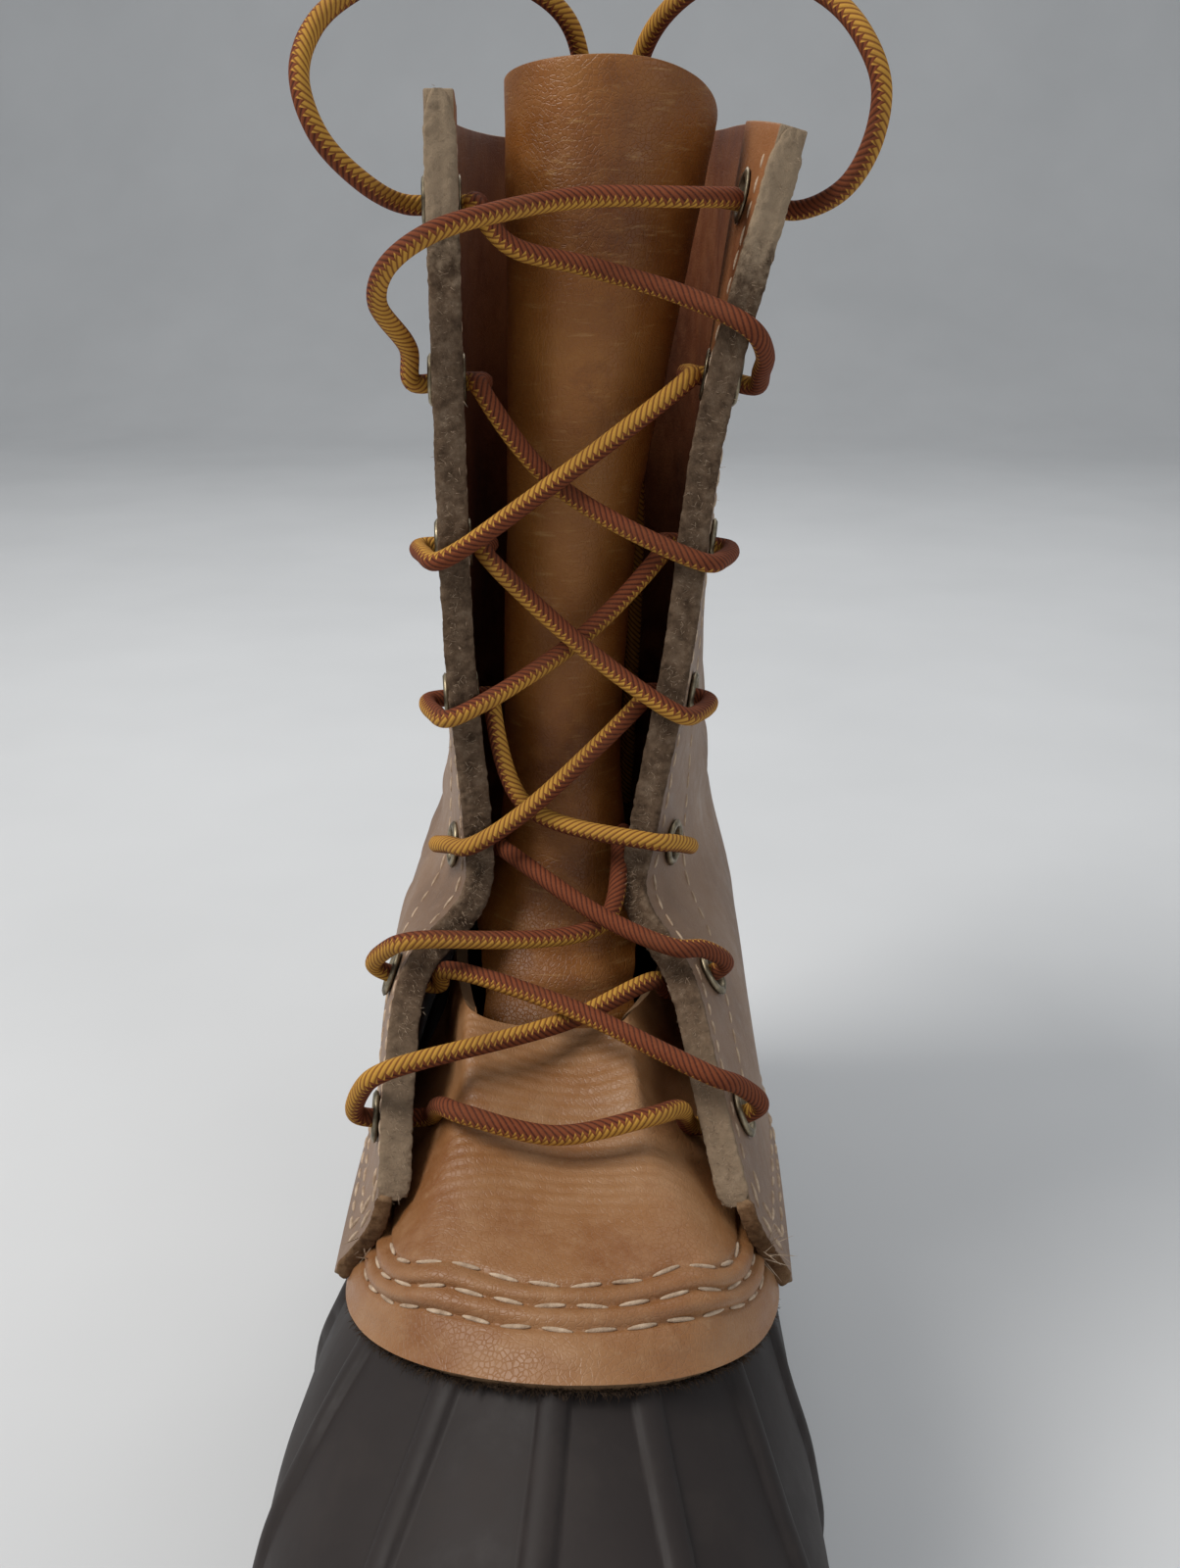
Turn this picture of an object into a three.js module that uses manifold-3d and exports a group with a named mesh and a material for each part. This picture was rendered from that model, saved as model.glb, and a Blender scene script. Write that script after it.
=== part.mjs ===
// A right foot duck boot: a moulded rubber bottom, a laced leather upper and a stiff rolled tongue.
// Millimetres, +Z up, toe towards -Y, origin on the floor under the middle of the boot.
// The wearer's outer side, the lateral side, is -X and the inner, medial side is +X.
import * as THREE from 'three';
import { mergeVertices } from 'three/addons/utils/BufferGeometryUtils.js';
import Module from 'manifold-3d';

const wasm = await Module();
wasm.setup();

// ---- driving dimensions ----
const soleLength = 300;          // widest outline of the rubber bottom, heel to toe
const ballWidth = 100;           // widest outline across the ball of the foot
const bootHeight = 268;          // floor to the collar at the back seam
const leather = 2.3;             // one ply of upper leather
const rubberWall = 3;            // wall of the moulded bottom
const rubberFloor = 3;           // floor of the moulded bottom
const gap = 0.3;                 // clearance between pieces that touch
const bedding = 1.1;             // room under the vamp, where it is laid on the rubber
const plateGap = 0.6;            // between the stacked sole pieces
const plyGap = 0.45;             // between the two plies of a facing
const outsoleThick = 9;          // tread unit under the moulded bottom
const toeSpring = 7;             // how far the toe end of the sole lifts off the floor
const foamThick = 11;            // insulating midsole inside the bottom
const footbedThick = 4;          // loose insole on top of it
const shankLength = 92;          // steel stiffener under the arch
const shankWidth = 15;
const shankThick = 1.4;
const eyeletCount = 7;           // eyelets in each facing
const eyeletFromTop = { lateral: 17, medial: 12 };    // collar corner to the top eyelet
const eyeletFromEnd = { lateral: 9.7, medial: 11 };   // facing's lower end to the bottom eyelet
const lateralRise = 6;           // how much higher the collar's front corner stands on the lateral side
const eyeletFromEdge = 12;       // raw edge of the facing to the eyelet
const eyeletBore = 6.2;
const eyeletWall = 0.5;
const eyeletFlange = 1.1;        // how far the rolled rim stands out around the barrel
const rimThick = 0.7;
const stayWidth = 23;            // second ply behind the eyelets
const backstayWidth = 30;        // strap over the back seam
const tongueThick = 2.5;
const tongueRise = 8;            // top edge of the tongue above the collar at the back seam
const laceDiameter = 3.4;
const agletLength = 22;
const agletDiameter = 3.4;

// ---- the boot's surface ----
// Thirteen closed outlines, from the sole to the collar. The surface is the face between the two plies
// of the upper. Side, cheek and heel corner hold [lateral x, medial x, y, z]; the corners and the cheek are
// the handles of the curves that run from the front centre to the side and on to the back seam.
const outlines = [
  { front: [5, -143, 16], corner: 45, side: [-46, 44, -54, 9],
    cheek: [-37, 33, 38, 9], heel: [-46, 46], back: [141, 9] },
  { front: [5, -150, 34], corner: 48, side: [-52, 49.5, -55, 31],
    cheek: [-43, 39, 40, 30], heel: [-49, 49], back: [149, 29] },
  { front: [5, -141, 56], corner: 43, side: [-49.5, 47, -52, 53],
    cheek: [-44, 42, 38, 47], heel: [-49, 49], back: [149, 46] },
  { front: [4.5, -116, 77], corner: 31, side: [-44, 43, -47, 66],
    cheek: [-43, 43, 34, 56], heel: [-48, 48], back: [147, 56] },
  { front: [4, -80, 92], corner: 18, side: [-37, 39, -40, 77],
    cheek: [-43, 43, 30, 63], heel: [-47, 47], back: [145, 64] },
  { front: [3, -60, 100], corner: 17, side: [-28, 31.5, -44, 94],
    cheek: [-43.5, 43, 32, 76], heel: [-46, 46], back: [143, 78] },
  { front: [2, -38, 112], corner: 18, side: [-28.5, 26.5, -26, 107],
    cheek: [-43.5, 42, 40, 90], heel: [-44, 44], back: [140, 92] },
  { front: [0, -14, 121], corner: 18, side: [-28, 22, -5, 118],
    cheek: [-39.5, 38, 48, 104], heel: [-42, 42], back: [138, 106] },
  { front: [-1, 4, 127], corner: 12, side: [-18, 13.5, 8, 128],
    cheek: [-33.5, 34, 50, 120], heel: [-40, 40], back: [137, 122] },
  { front: [-1, 8, 140], corner: 9, side: [-17.5, 15, 13, 141],
    cheek: [-28, 30, 52, 139], heel: [-38, 38], back: [136, 140] },
  { front: [0, 10, 175], corner: 9, side: [-20, 21, 14, 176],
    cheek: [-24, 25.5, 52, 175], heel: [-36, 36], back: [136, 175] },
  { front: [0, 10, 215], corner: 9, side: [-20.5, 26, 14.5, 217],
    cheek: [-24.5, 28.5, 52, 216], heel: [-36, 37], back: [138, 217] },
  { front: [4, 10, 262], corner: 9, side: [-20.5, 38, 15, 264],
    cheek: [-24, 29, 54, 269], heel: [-36, 38], back: [141, 268] },
];
const designLength = 300;
const designWidth = 100;
const designHeight = 268;
const lengthScale = soleLength / designLength;
const widthScale = ballWidth / designWidth;
const heightScale = bootHeight / designHeight;
const topOutline = outlines.length - 1;
const at = (outline) => outline / topOutline;   // the level of an outline, 0 at the sole and 1 at the collar
const seamLevel = at(4);                         // lower edge of the leather
const rimLevel = at(5);                          // top edge of the rubber, inside the leather
const throatLevel = at(7);                       // top edge of the vamp

const point = (x, y, z) => new THREE.Vector3(x * widthScale, y * lengthScale, z * heightScale);
const track = (pick) => new THREE.CatmullRomCurve3(outlines.map(pick), false, 'catmullrom', 0.5);
const frontTrack = track((o) => point(...o.front));
const backTrack = track((o) => point(0, o.back[0], o.back[1]));
const frontRise = (outline, side) => (side < 0 && outline === outlines[topOutline] ? lateralRise : 0);
const sideTracks = [-1, 1].map((side) => {
  const x = side < 0 ? 0 : 1;
  return {
    corner: track((o) => point(o.front[0] + side * o.corner, o.front[1], o.front[2])),
    side: track((o) => point(o.side[x], o.side[2], o.side[3] + frontRise(o, side))),
    cheek: track((o) => point(o.cheek[x], o.cheek[2], o.cheek[3])),
    heel: track((o) => point(o.heel[x], o.back[0], o.back[1])),
  };
});
const tracksOf = (side) => sideTracks[side < 0 ? 0 : 1];
const browReach = 0.34;          // share of the cheek handle that is carried forward over the side point

// Around an outline, place runs from -2 at the back seam, through -1 on the lateral side and 0 at the
// front centre, to 1 on the medial side and 2 at the back seam again.
function onOutline(place, level) {
  const tracks = tracksOf(place);
  const side = tracks.side.getPoint(level);
  const cheek = tracks.cheek.getPoint(level);
  const reach = Math.abs(place);
  if (reach > 1) {
    const back = backTrack.getPoint(level);
    return new THREE.CubicBezierCurve3(side, cheek, tracks.heel.getPoint(level), back).getPoint(reach - 1);
  }
  const brow = side.clone().lerp(cheek, -browReach);
  const front = frontTrack.getPoint(level);
  return new THREE.CubicBezierCurve3(front, tracks.corner.getPoint(level), brow, side).getPoint(reach);
}

const probe = 1e-3;
function normalAt(place, level) {
  const inside = THREE.MathUtils.clamp(place, -2 + probe, 2 - probe);
  const low = Math.max(level - probe, 0);
  const high = Math.min(level + probe, 1);
  const along = onOutline(inside + probe, level).sub(onOutline(inside - probe, level));
  const up = onOutline(inside, high).sub(onOutline(inside, low));
  return along.cross(up).normalize();
}

function offSurface(place, level, offset) {
  return onOutline(place, level).addScaledVector(normalAt(place, level), offset);
}

// An inner copy of an outline for the domed vamp: its handles move inwards instead of its points, so it
// stays smooth where the outline bends tighter than the inset.
const domeBrow = 0.18;
const domeCorner = 0.7;
const domeSide = 0.94;            // share of the inset that is kept at the sides
function insetOutline(place, level, inset) {
  const tracks = tracksOf(place);
  const reach = Math.abs(place);
  const inwards = normalAt(place < 0 ? -1 : 1, level).multiplyScalar(-inset * domeSide);
  const cheek = tracks.cheek.getPoint(level).add(inwards);
  const side = tracks.side.getPoint(level).add(inwards);
  if (reach > 1) {
    const heel = tracks.heel.getPoint(level).add(inwards);
    return new THREE.CubicBezierCurve3(side, cheek, heel, backTrack.getPoint(level)).getPoint(reach - 1);
  }
  const brow = side.clone().lerp(cheek, -domeBrow);
  const front = frontTrack.getPoint(level);
  const corner = front.clone().lerp(tracks.corner.getPoint(level), domeCorner);
  const frontInwards = normalAt(0, level).multiplyScalar(-inset);
  const innerCorner = corner.add(frontInwards);
  return new THREE.CubicBezierCurve3(front.add(frontInwards), innerCorner, brow, side).getPoint(reach);
}

// How far along place an arc of the given length reaches from a facing's raw edge.
function placeFromEdge(side, level, distance) {
  const tracks = tracksOf(side);
  const speed = 3 * tracks.side.getPoint(level).distanceTo(tracks.cheek.getPoint(level));
  return side * (1 + distance / speed);
}

const { smoothstep, lerp } = THREE.MathUtils;

// The vamp lies under the quarters at the seam and drops away below the facings above it.
const vampDrop = 11.2;
const vampInset = (level) => gap + lerp(0, vampDrop, smoothstep(level, at(4.5), at(6.2)));
// Behind the vamp's wings the quarters settle inwards onto the rubber.
function quarterInset(place, level) {
  const behind = smoothstep(Math.abs(place), 1.2, 1.4);
  const low = 1 - smoothstep(level, rimLevel, throatLevel);
  return (leather + gap) * behind * low;
}
const rubberInset = (level) => vampInset(level) + leather + bedding;

// ---- ways to make a closed piece ----
function welded(geometry) {
  geometry.deleteAttribute('normal');
  geometry.deleteAttribute('uv');
  return mergeVertices(geometry, 1e-4);
}

function closed(geometry) {
  const merged = welded(geometry);
  const { position } = merged.attributes;
  const at3 = (i) => new THREE.Vector3().fromBufferAttribute(position, merged.index.array[i]);
  let volume = 0;
  for (let i = 0; i < merged.index.count; i += 3) {
    volume += at3(i).dot(at3(i + 1).cross(at3(i + 2)));
  }
  if (volume < 0) {
    merged.index.array.reverse();
  }
  merged.computeVertexNormals();
  return merged;
}

// A flat blank bent onto a surface: shape(u, v, depth) places each of its points, with depth 0 inside and
// 1 outside.
function bent(shape, across, along) {
  const blank = welded(new THREE.BoxGeometry(1, 1, 1, across, along, 1));
  const positions = blank.attributes.position;
  for (let i = 0; i < positions.count; i++) {
    const p = shape(positions.getX(i) + 0.5, positions.getY(i) + 0.5, positions.getZ(i) + 0.5);
    positions.setXYZ(i, p.x, p.y, p.z);
  }
  return closed(blank);
}

// A closed body from a stack of rings, whose first and last rings are single points.
function stacked(rings, segments) {
  const profile = rings.map((ring, i) => new THREE.Vector2(i % (rings.length - 1) ? 1 : 0, i));
  const body = new THREE.LatheGeometry(profile, segments);
  const positions = body.attributes.position;
  for (let i = 0; i < positions.count; i++) {
    const ring = rings[i % rings.length];
    const step = Math.floor(i / rings.length) % segments;
    const p = ring(-2 + 4 * step / segments);
    positions.setXYZ(i, p.x, p.y, p.z);
  }
  return closed(body);
}

function solid(geometry) {
  return new wasm.Manifold(new wasm.Mesh({
    numProp: 3,
    vertProperties: new Float32Array(geometry.attributes.position.array),
    triVerts: new Uint32Array(geometry.index.array),
  }));
}

function geometryOf(body) {
  const mesh = body.getMesh();
  const geometry = new THREE.BufferGeometry();
  geometry.setAttribute('position', new THREE.BufferAttribute(new Float32Array(mesh.vertProperties), 3));
  geometry.setIndex(new THREE.BufferAttribute(new Uint32Array(mesh.triVerts), 1));
  geometry.computeVertexNormals();
  return geometry;
}

// ---- materials ----
const finish = (color, roughness, metalness = 0) => (
  new THREE.MeshStandardMaterial({ color, roughness, metalness }));
const rubber = finish(0x3a3130, 0.6);
const vampTan = finish(0xb98254, 0.55);
const quarterTan = finish(0xa67a55, 0.6);
const stayTan = finish(0x8f7459, 0.8);
const tongueTan = finish(0xa8692f, 0.5);
const foam = finish(0xc9c2b2, 0.9);
const felt = finish(0x6d655a, 0.95);
const steel = finish(0x9a9c9f, 0.35, 1);
const oldBrass = finish(0x7d705c, 0.45, 1);
const laceGold = finish(0xb88423, 0.85);

const boot = new THREE.Group();
function add(name, geometry, material, parent = boot) {
  const mesh = new THREE.Mesh(geometry, material);
  mesh.name = name;
  parent.add(mesh);
  return mesh;
}

// ---- rubber bottom ----
const springStart = -60 * lengthScale;
const springRun = 90 * lengthScale;
const spring = (y) => toeSpring * Math.max(0, (springStart - y) / springRun) ** 2;

// A point of the sole's outline drawn in towards the middle, at a height above the sprung floor line.
function onSole(place, share, height, inset = 0) {
  const p = offSurface(place, at(0.6), -inset);
  p.x *= share;
  p.y *= share;
  p.z = height + spring(p.y);
  return p;
}

const aroundShell = 44;
const soleInset = 5;
const treadBevel = 2;
const floorTop = outsoleThick + plateGap + rubberFloor;

add('outsole', stacked([
  () => onSole(0, 0, 0),
  (w) => onSole(w, 0.5, 0, soleInset),
  (w) => onSole(w, 1, 0, soleInset + treadBevel),
  (w) => onSole(w, 1, treadBevel, soleInset),
  (w) => onSole(w, 1, outsoleThick, soleInset - treadBevel),
  (w) => onSole(w, 0.5, outsoleThick, soleInset),
  () => onSole(0, 0, outsoleThick),
], aroundShell), rubber);

const wallLevels = [0.6, 1, 1.5, 2, 2.6, 3.2, 4, 4.6, 5].map(at);
const innerLevels = [5, 4.4, 3.4, 2.4, 1.7, 1].map(at);
add('rubber_bottom', stacked([
  () => onSole(0, 0, outsoleThick + plateGap),
  (w) => onSole(w, 0.5, outsoleThick + plateGap, rubberInset(0)),
  (w) => onSole(w, 1, outsoleThick + plateGap, rubberInset(0)),
  ...wallLevels.map((level) => (w) => offSurface(w, level, -rubberInset(level))),
  ...innerLevels.map((level) => (w) => offSurface(w, level, -rubberInset(level) - rubberWall)),
  (w) => onSole(w, 1, floorTop, rubberInset(0) + rubberWall + 1),
  (w) => onSole(w, 0.5, floorTop, rubberInset(0) + rubberWall),
  () => onSole(0, 0, floorTop),
], aroundShell), rubber);

// ---- inside the bottom: shank, foam and footbed ----
const shankY = 28 * lengthScale;
const shankBase = floorTop + plateGap;
const shankBody = new THREE.BoxGeometry(shankWidth, shankLength, shankThick);
shankBody.translate(0, shankY, shankBase + shankThick / 2);
add('shank', closed(shankBody), steel);

function innerPlate(base, thick, inset) {
  return stacked([
    () => onSole(0, 0, base),
    (w) => onSole(w, 0.5, base, inset),
    (w) => onSole(w, 1, base, inset + 1),
    (w) => onSole(w, 1, base + thick, inset),
    (w) => onSole(w, 0.5, base + thick, inset),
    () => onSole(0, 0, base + thick),
  ], 32);
}
const foamBase = floorTop + plateGap;
const plateInset = rubberInset(0) + rubberWall + 2;
const shankSlot = new THREE.BoxGeometry(shankWidth + 2 * gap, shankLength + 2 * gap, 2 * (shankThick + gap));
shankSlot.translate(0, shankY, foamBase);
const foamBody = solid(innerPlate(foamBase, foamThick, plateInset)).subtract(solid(closed(shankSlot)));
add('insulating_midsole', geometryOf(foamBody), foam);
const footbedBase = foamBase + foamThick + plateGap;
add('footbed', innerPlate(footbedBase, footbedThick, plateInset + 1), felt);

// ---- leather upper ----
const wing = 1.22;
const vampSpan = (u) => lerp(-wing, wing, u);
add('vamp', bent((u, v, depth) => {
  const level = lerp(seamLevel, throatLevel, v);
  const inset = vampInset(level) + leather * (1 - depth);
  const laid = offSurface(vampSpan(u), level, -inset);
  return laid.lerp(insetOutline(vampSpan(u), level, inset), smoothstep(level, at(4.9), at(5.5)));
}, 22, 9), vampTan);

// The run down a facing's raw edge from its top corner, in small steps of the level.
const stayBottom = at(5.15);     // lower end of a facing
const edgeSteps = 600;
function runDownEdge(side) {
  const edge = tracksOf(side).side;
  const travelled = [0];
  for (let i = edgeSteps - 1; i >= 0; i--) {
    const stride = edge.getPoint(i / edgeSteps).distanceTo(edge.getPoint((i + 1) / edgeSteps));
    travelled.push(travelled.at(-1) + stride);
  }
  return travelled;
}
const edgeRuns = { lateral: runDownEdge(-1), medial: runDownEdge(1) };

// Each eyelet's place: its centre on the surface between the plies, and its outward axis. The eyelets are
// spread evenly between the top one and the bottom one.
function eyeletSeat(side, index) {
  const name = side < 0 ? 'lateral' : 'medial';
  const run = edgeRuns[name];
  const facingRun = run[Math.round((1 - stayBottom) * edgeSteps)];
  const pitch = (facingRun - eyeletFromTop[name] - eyeletFromEnd[name]) / (eyeletCount - 1);
  const down = eyeletFromTop[name] + pitch * (eyeletCount - 1 - index);
  const level = 1 - run.findIndex((travelled) => travelled >= down) / edgeSteps;
  const place = placeFromEdge(side, level, eyeletFromEdge);
  return { centre: onOutline(place, level), axis: normalAt(place, level) };
}

const boreSegments = 12;
const barrelRadius = eyeletBore / 2 + eyeletWall;
function eyeletHole(seat) {
  const drill = new THREE.CylinderGeometry(barrelRadius + gap, barrelRadius + gap, 30, boreSegments);
  drill.applyQuaternion(new THREE.Quaternion().setFromUnitVectors(new THREE.Vector3(0, 1, 0), seat.axis));
  drill.translate(seat.centre.x, seat.centre.y, seat.centre.z);
  return solid(closed(drill));
}

const tightestBend = 17;         // of the leather under an eyelet's rim
const seatClearance = gap + (barrelRadius + eyeletFlange) ** 2 / (2 * tightestBend);
const outerFace = leather + seatClearance;
const innerFace = -leather - plyGap - seatClearance;
function eyelet() {
  const bore = eyeletBore / 2;
  const rim = barrelRadius + eyeletFlange;
  return closed(new THREE.LatheGeometry([
    [bore, innerFace - rimThick], [rim, innerFace - rimThick / 2], [rim, innerFace], [barrelRadius, innerFace],
    [barrelRadius, outerFace], [rim, outerFace], [rim, outerFace + rimThick / 2], [bore, outerFace + rimThick],
    [bore, innerFace - rimThick],
  ].map(([radius, height]) => new THREE.Vector2(radius, height)), boreSegments));
}

const sides = [{ side: -1, name: 'lateral' }, { side: 1, name: 'medial' }];
const backSeamHalf = 0.0035;     // half the butt seam at the back, as a share of place
for (const { side, name } of sides) {
  const seats = Array.from({ length: eyeletCount }, (_, index) => eyeletSeat(side, index));
  const edgeAt = (u) => side * lerp(1, 2 - backSeamHalf, side > 0 ? u : 1 - u);
  let quarter = solid(bent((u, v, depth) => {
    const level = lerp(seamLevel, 1, v);
    const place = edgeAt(u);
    return offSurface(place, level, leather * depth - quarterInset(place, level));
  }, 15, 22));
  let stay = solid(bent((u, v, depth) => {
    const level = lerp(stayBottom, 1, v);
    const reach = stayWidth * (side > 0 ? u : 1 - u);
    const place = placeFromEdge(side, level, reach);
    return offSurface(place, level, -plyGap - leather * (1 - depth));
  }, 4, 22));
  for (const seat of seats) {
    const hole = eyeletHole(seat);
    quarter = quarter.subtract(hole);
    stay = stay.subtract(hole);
  }
  add(`quarter_${name}`, geometryOf(quarter), quarterTan);
  add(`facing_${name}`, geometryOf(stay), stayTan);
  seats.forEach((seat, index) => {
    const ring = add(`eyelet_${name}_${index + 1}`, eyelet(), oldBrass);
    ring.quaternion.setFromUnitVectors(new THREE.Vector3(0, 1, 0), seat.axis);
    ring.position.copy(seat.centre);
  });
}

// The strap over the back seam lies on both quarters.
const backstayBottom = at(4.1);
add('backstay', bent((u, v, depth) => {
  const level = lerp(backstayBottom, 0.995, v);
  const handleReach = tracksOf(1).heel.getPoint(level).distanceTo(backTrack.getPoint(level));
  const halfPlace = backstayWidth / 2 / (3 * handleReach);
  const turn = lerp(-halfPlace, halfPlace, u);
  const place = turn < 0 ? 2 + turn : -2 + turn;
  const offset = leather + gap - quarterInset(place, level) + leather * depth;
  return offSurface(place, level, offset);
}, 6, 20), quarterTan);

// ---- tongue ----
// A sheet rolled about an upright axis. Each row gives [centre x, front y, z], the radius of the roll and
// half the angle that it wraps.
const tongueRows = [
  { front: [-1, -5, 101], radius: 24, wrap: 38 },
  { front: [-2, 6, 114], radius: 20, wrap: 50 },
  { front: [-1.5, 15, 128], radius: 14, wrap: 104 },
  { front: [-1.5, 21, 145], radius: 12, wrap: 138 },
  { front: [-1, 23, 170], radius: 12, wrap: 140 },
  { front: [0.5, 23.5, 200], radius: 12.8, wrap: 132 },
  { front: [3.5, 24, 230], radius: 15.5, wrap: 118 },
  { front: [7.4, 25, 276], radius: 19.2, wrap: 104 },
];
const cornerDroop = { lateral: 4, medial: 12 };   // how far the tongue's top corners hang below its middle
const designTongueTop = 276;
const tongueScale = (bootHeight + tongueRise) / designTongueTop;
const tongueFront = new THREE.CatmullRomCurve3(tongueRows.map(({ front: [x, y, z] }) => (
  new THREE.Vector3(x, y * lengthScale, z * tongueScale))), false, 'catmullrom', 0.5);
const tongueRoll = new THREE.CatmullRomCurve3(tongueRows.map(({ radius, wrap }) => (
  new THREE.Vector3(radius * widthScale, THREE.MathUtils.degToRad(wrap), 0))), false, 'catmullrom', 0.5);
add('tongue', bent((u, v, depth) => {
  const front = tongueFront.getPoint(v);
  const roll = tongueRoll.getPoint(v);
  const angle = lerp(-roll.y, roll.y, u);
  const radius = roll.x - tongueThick * (1 - depth);
  const corner = u < 0.5 ? cornerDroop.lateral : cornerDroop.medial;
  const droop = corner * (2 * u - 1) ** 2 * smoothstep(v, 0.75, 1);
  return new THREE.Vector3(
    front.x + radius * Math.sin(angle),
    front.y + roll.x - radius * Math.cos(angle),
    front.z - droop,
  );
}, 16, 18), tongueTan);

// ---- lace ----
// One lace, from its lateral end's tip inside the shaft, over the top in a slack bow, down through every
// eyelet to the bar across the vamp, and up the other way to the second bow and tip.
const laceRoute = [
  [-2, 80, 118], [-3, 76, 144], [-3, 73, 172], [-2, 70, 200], [0, 66, 230], [2, 60, 258],
  [2, 53, 276], [-1, 46, 284], [-10, 38, 289], [-22.5, 30, 290.5], [-33.5, 24, 286],
  [-40.5, 18, 279.5], [-42.5, 13, 271.5], [-40, 13, 263], [-34, 18, 256], [-28, 25.5, 252.5],
  [-22, 28, 252.5], [-15.5, 27, 252.5], [-15.5, 21, 252.5], [-9.5, 18.5, 246], [4, 19, 242.5],
  [20.5, 13.5, 238], [31.5, 10, 233], [34.5, 15, 228.5], [34.5, 21, 225], [34, 26, 222],
  [28, 28, 223], [21.5, 27, 224], [22, 20.5, 224], [-2.5, 14.5, 206], [-22.5, 11, 193],
  [-26, 16.5, 193], [-27.5, 25.5, 192.5], [-21.5, 27.5, 192.5], [-15, 26.5, 193], [-15.5, 20, 193],
  [2.5, 14, 177], [21.5, 10.5, 164.5], [25, 15.5, 163.5], [27, 24.5, 163], [21.5, 27, 163.5],
  [15, 26.5, 164], [14.5, 20, 164.5], [-8, 10, 145], [-18.5, 8.5, 138.5], [-23, 13, 137],
  [-26, 21, 133.5], [-20.5, 23.5, 132], [-14.5, 23.5, 132], [-12.5, 15.5, 135], [7, -0.5, 128.5],
  [20.5, -7, 125.5], [26, -3.5, 123.5], [30.5, 2, 117.5], [26, 3.5, 113.5], [20, 3, 111],
  [17.5, -1, 115.5], [0.5, -14.5, 114], [-30, -31.5, 113.5], [-34, -29.5, 109], [-36, -25.5, 101],
  [-30, -23.5, 99], [-23.5, -23.5, 99.5], [-20.5, -30, 106], [-16, -36, 108.5], [0, -39, 106.5],
  [16, -36, 108.5], [21, -30, 106], [24, -23, 98], [30.5, -23, 99.5], [35.5, -24, 103],
  [31.5, -28.5, 110], [26.5, -31, 113.5], [0.5, -15.5, 118], [-23, -1, 117], [-24.5, 2.5, 112],
  [-31, 3, 113], [-36.5, 1.5, 116.5], [-32.5, -3.5, 123], [-28, -6.5, 126], [7, 2.5, 125.5],
  [10.5, 18.5, 137], [12, 24.5, 134.5], [18.5, 24, 133.5], [24, 20.5, 134], [20.5, 12.5, 138],
  [16, 8.5, 140], [-8, 14, 145], [-14.5, 20, 163], [-14.5, 26.5, 163], [-21, 27, 162.5],
  [-27, 24.5, 162.5], [-25, 15.5, 163], [-21.5, 10.5, 163.5], [2.5, 18, 177], [18, 20, 193.5],
  [17.5, 26.5, 193.5], [24, 27.5, 193], [30, 25.5, 192.5], [28.5, 16.5, 192.5], [25, 11, 193],
  [-2.5, 18.5, 206], [-15.5, 20.5, 222.5], [-15.5, 27, 222.5], [-22, 28, 222.5], [-28, 26, 222.5],
  [-28, 22.5, 228.5], [-31.5, 12, 237], [-28.5, 6, 243], [-21, 3.5, 248], [-9, 8.5, 251.5],
  [4, 13.5, 253.5], [20, 13, 253.5], [28.5, 19.5, 253.5], [27, 26, 253.5], [33.5, 28, 252.5],
  [40, 26.5, 251.5], [47, 19, 255], [50.5, 14, 262], [51, 12, 270], [48, 13, 277], [43, 17, 283],
  [35, 23, 287.5], [26.5, 31, 288.5], [18.5, 39, 285], [13, 48, 278], [11, 56, 264], [11, 62, 247],
  [12, 67, 226], [13, 71, 200], [13, 75, 172], [12, 79, 144], [11, 84, 118],
];
const laceSides = 8;
// The route as a curve whose steps fall on the chosen points.
class LaceRun extends THREE.CatmullRomCurve3 {
  getUtoTmapping(u) {
    return u;
  }
}
const laceRun = new LaceRun(laceRoute.map((p) => new THREE.Vector3(...p)), false, 'centripetal');
function roundSection(radius) {
  const section = new THREE.Shape();
  for (let i = 0; i < laceSides; i++) {
    const angle = 2 * Math.PI * i / laceSides;
    section[i ? 'lineTo' : 'moveTo'](radius * Math.cos(angle), radius * Math.sin(angle));
  }
  section.closePath();
  return section;
}
add('lace', closed(new THREE.ExtrudeGeometry(roundSection(laceDiameter / 2 - gap), {
  steps: laceRoute.length - 1,
  extrudePath: laceRun,
})), laceGold);

function aglet(name, end, next) {
  const tip = new THREE.Vector3(...end);
  const axis = tip.clone().sub(new THREE.Vector3(...next)).normalize();
  const sleeve = new THREE.CylinderGeometry(agletDiameter / 2, agletDiameter / 2, agletLength, boreSegments);
  sleeve.applyQuaternion(new THREE.Quaternion().setFromUnitVectors(new THREE.Vector3(0, 1, 0), axis));
  const centre = tip.addScaledVector(axis, agletLength / 2 + gap);
  sleeve.translate(centre.x, centre.y, centre.z);
  add(name, closed(sleeve), oldBrass);
}
aglet('aglet_lateral', laceRoute[0], laceRoute[1]);
aglet('aglet_medial', laceRoute.at(-1), laceRoute.at(-2));

// The origin goes to the floor under the middle of the boot, measured without the lace.
const box = new THREE.Box3();
for (const mesh of boot.children) {
  if (mesh.material !== laceGold && !mesh.name.startsWith('aglet')) {
    box.expandByObject(mesh);
  }
}
const middle = box.getCenter(new THREE.Vector3());
boot.position.set(-middle.x, -middle.y, 0);

export default boot;
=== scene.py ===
import math
import bpy
import bmesh
import numpy as np
from mathutils import Matrix, Vector, noise


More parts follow.
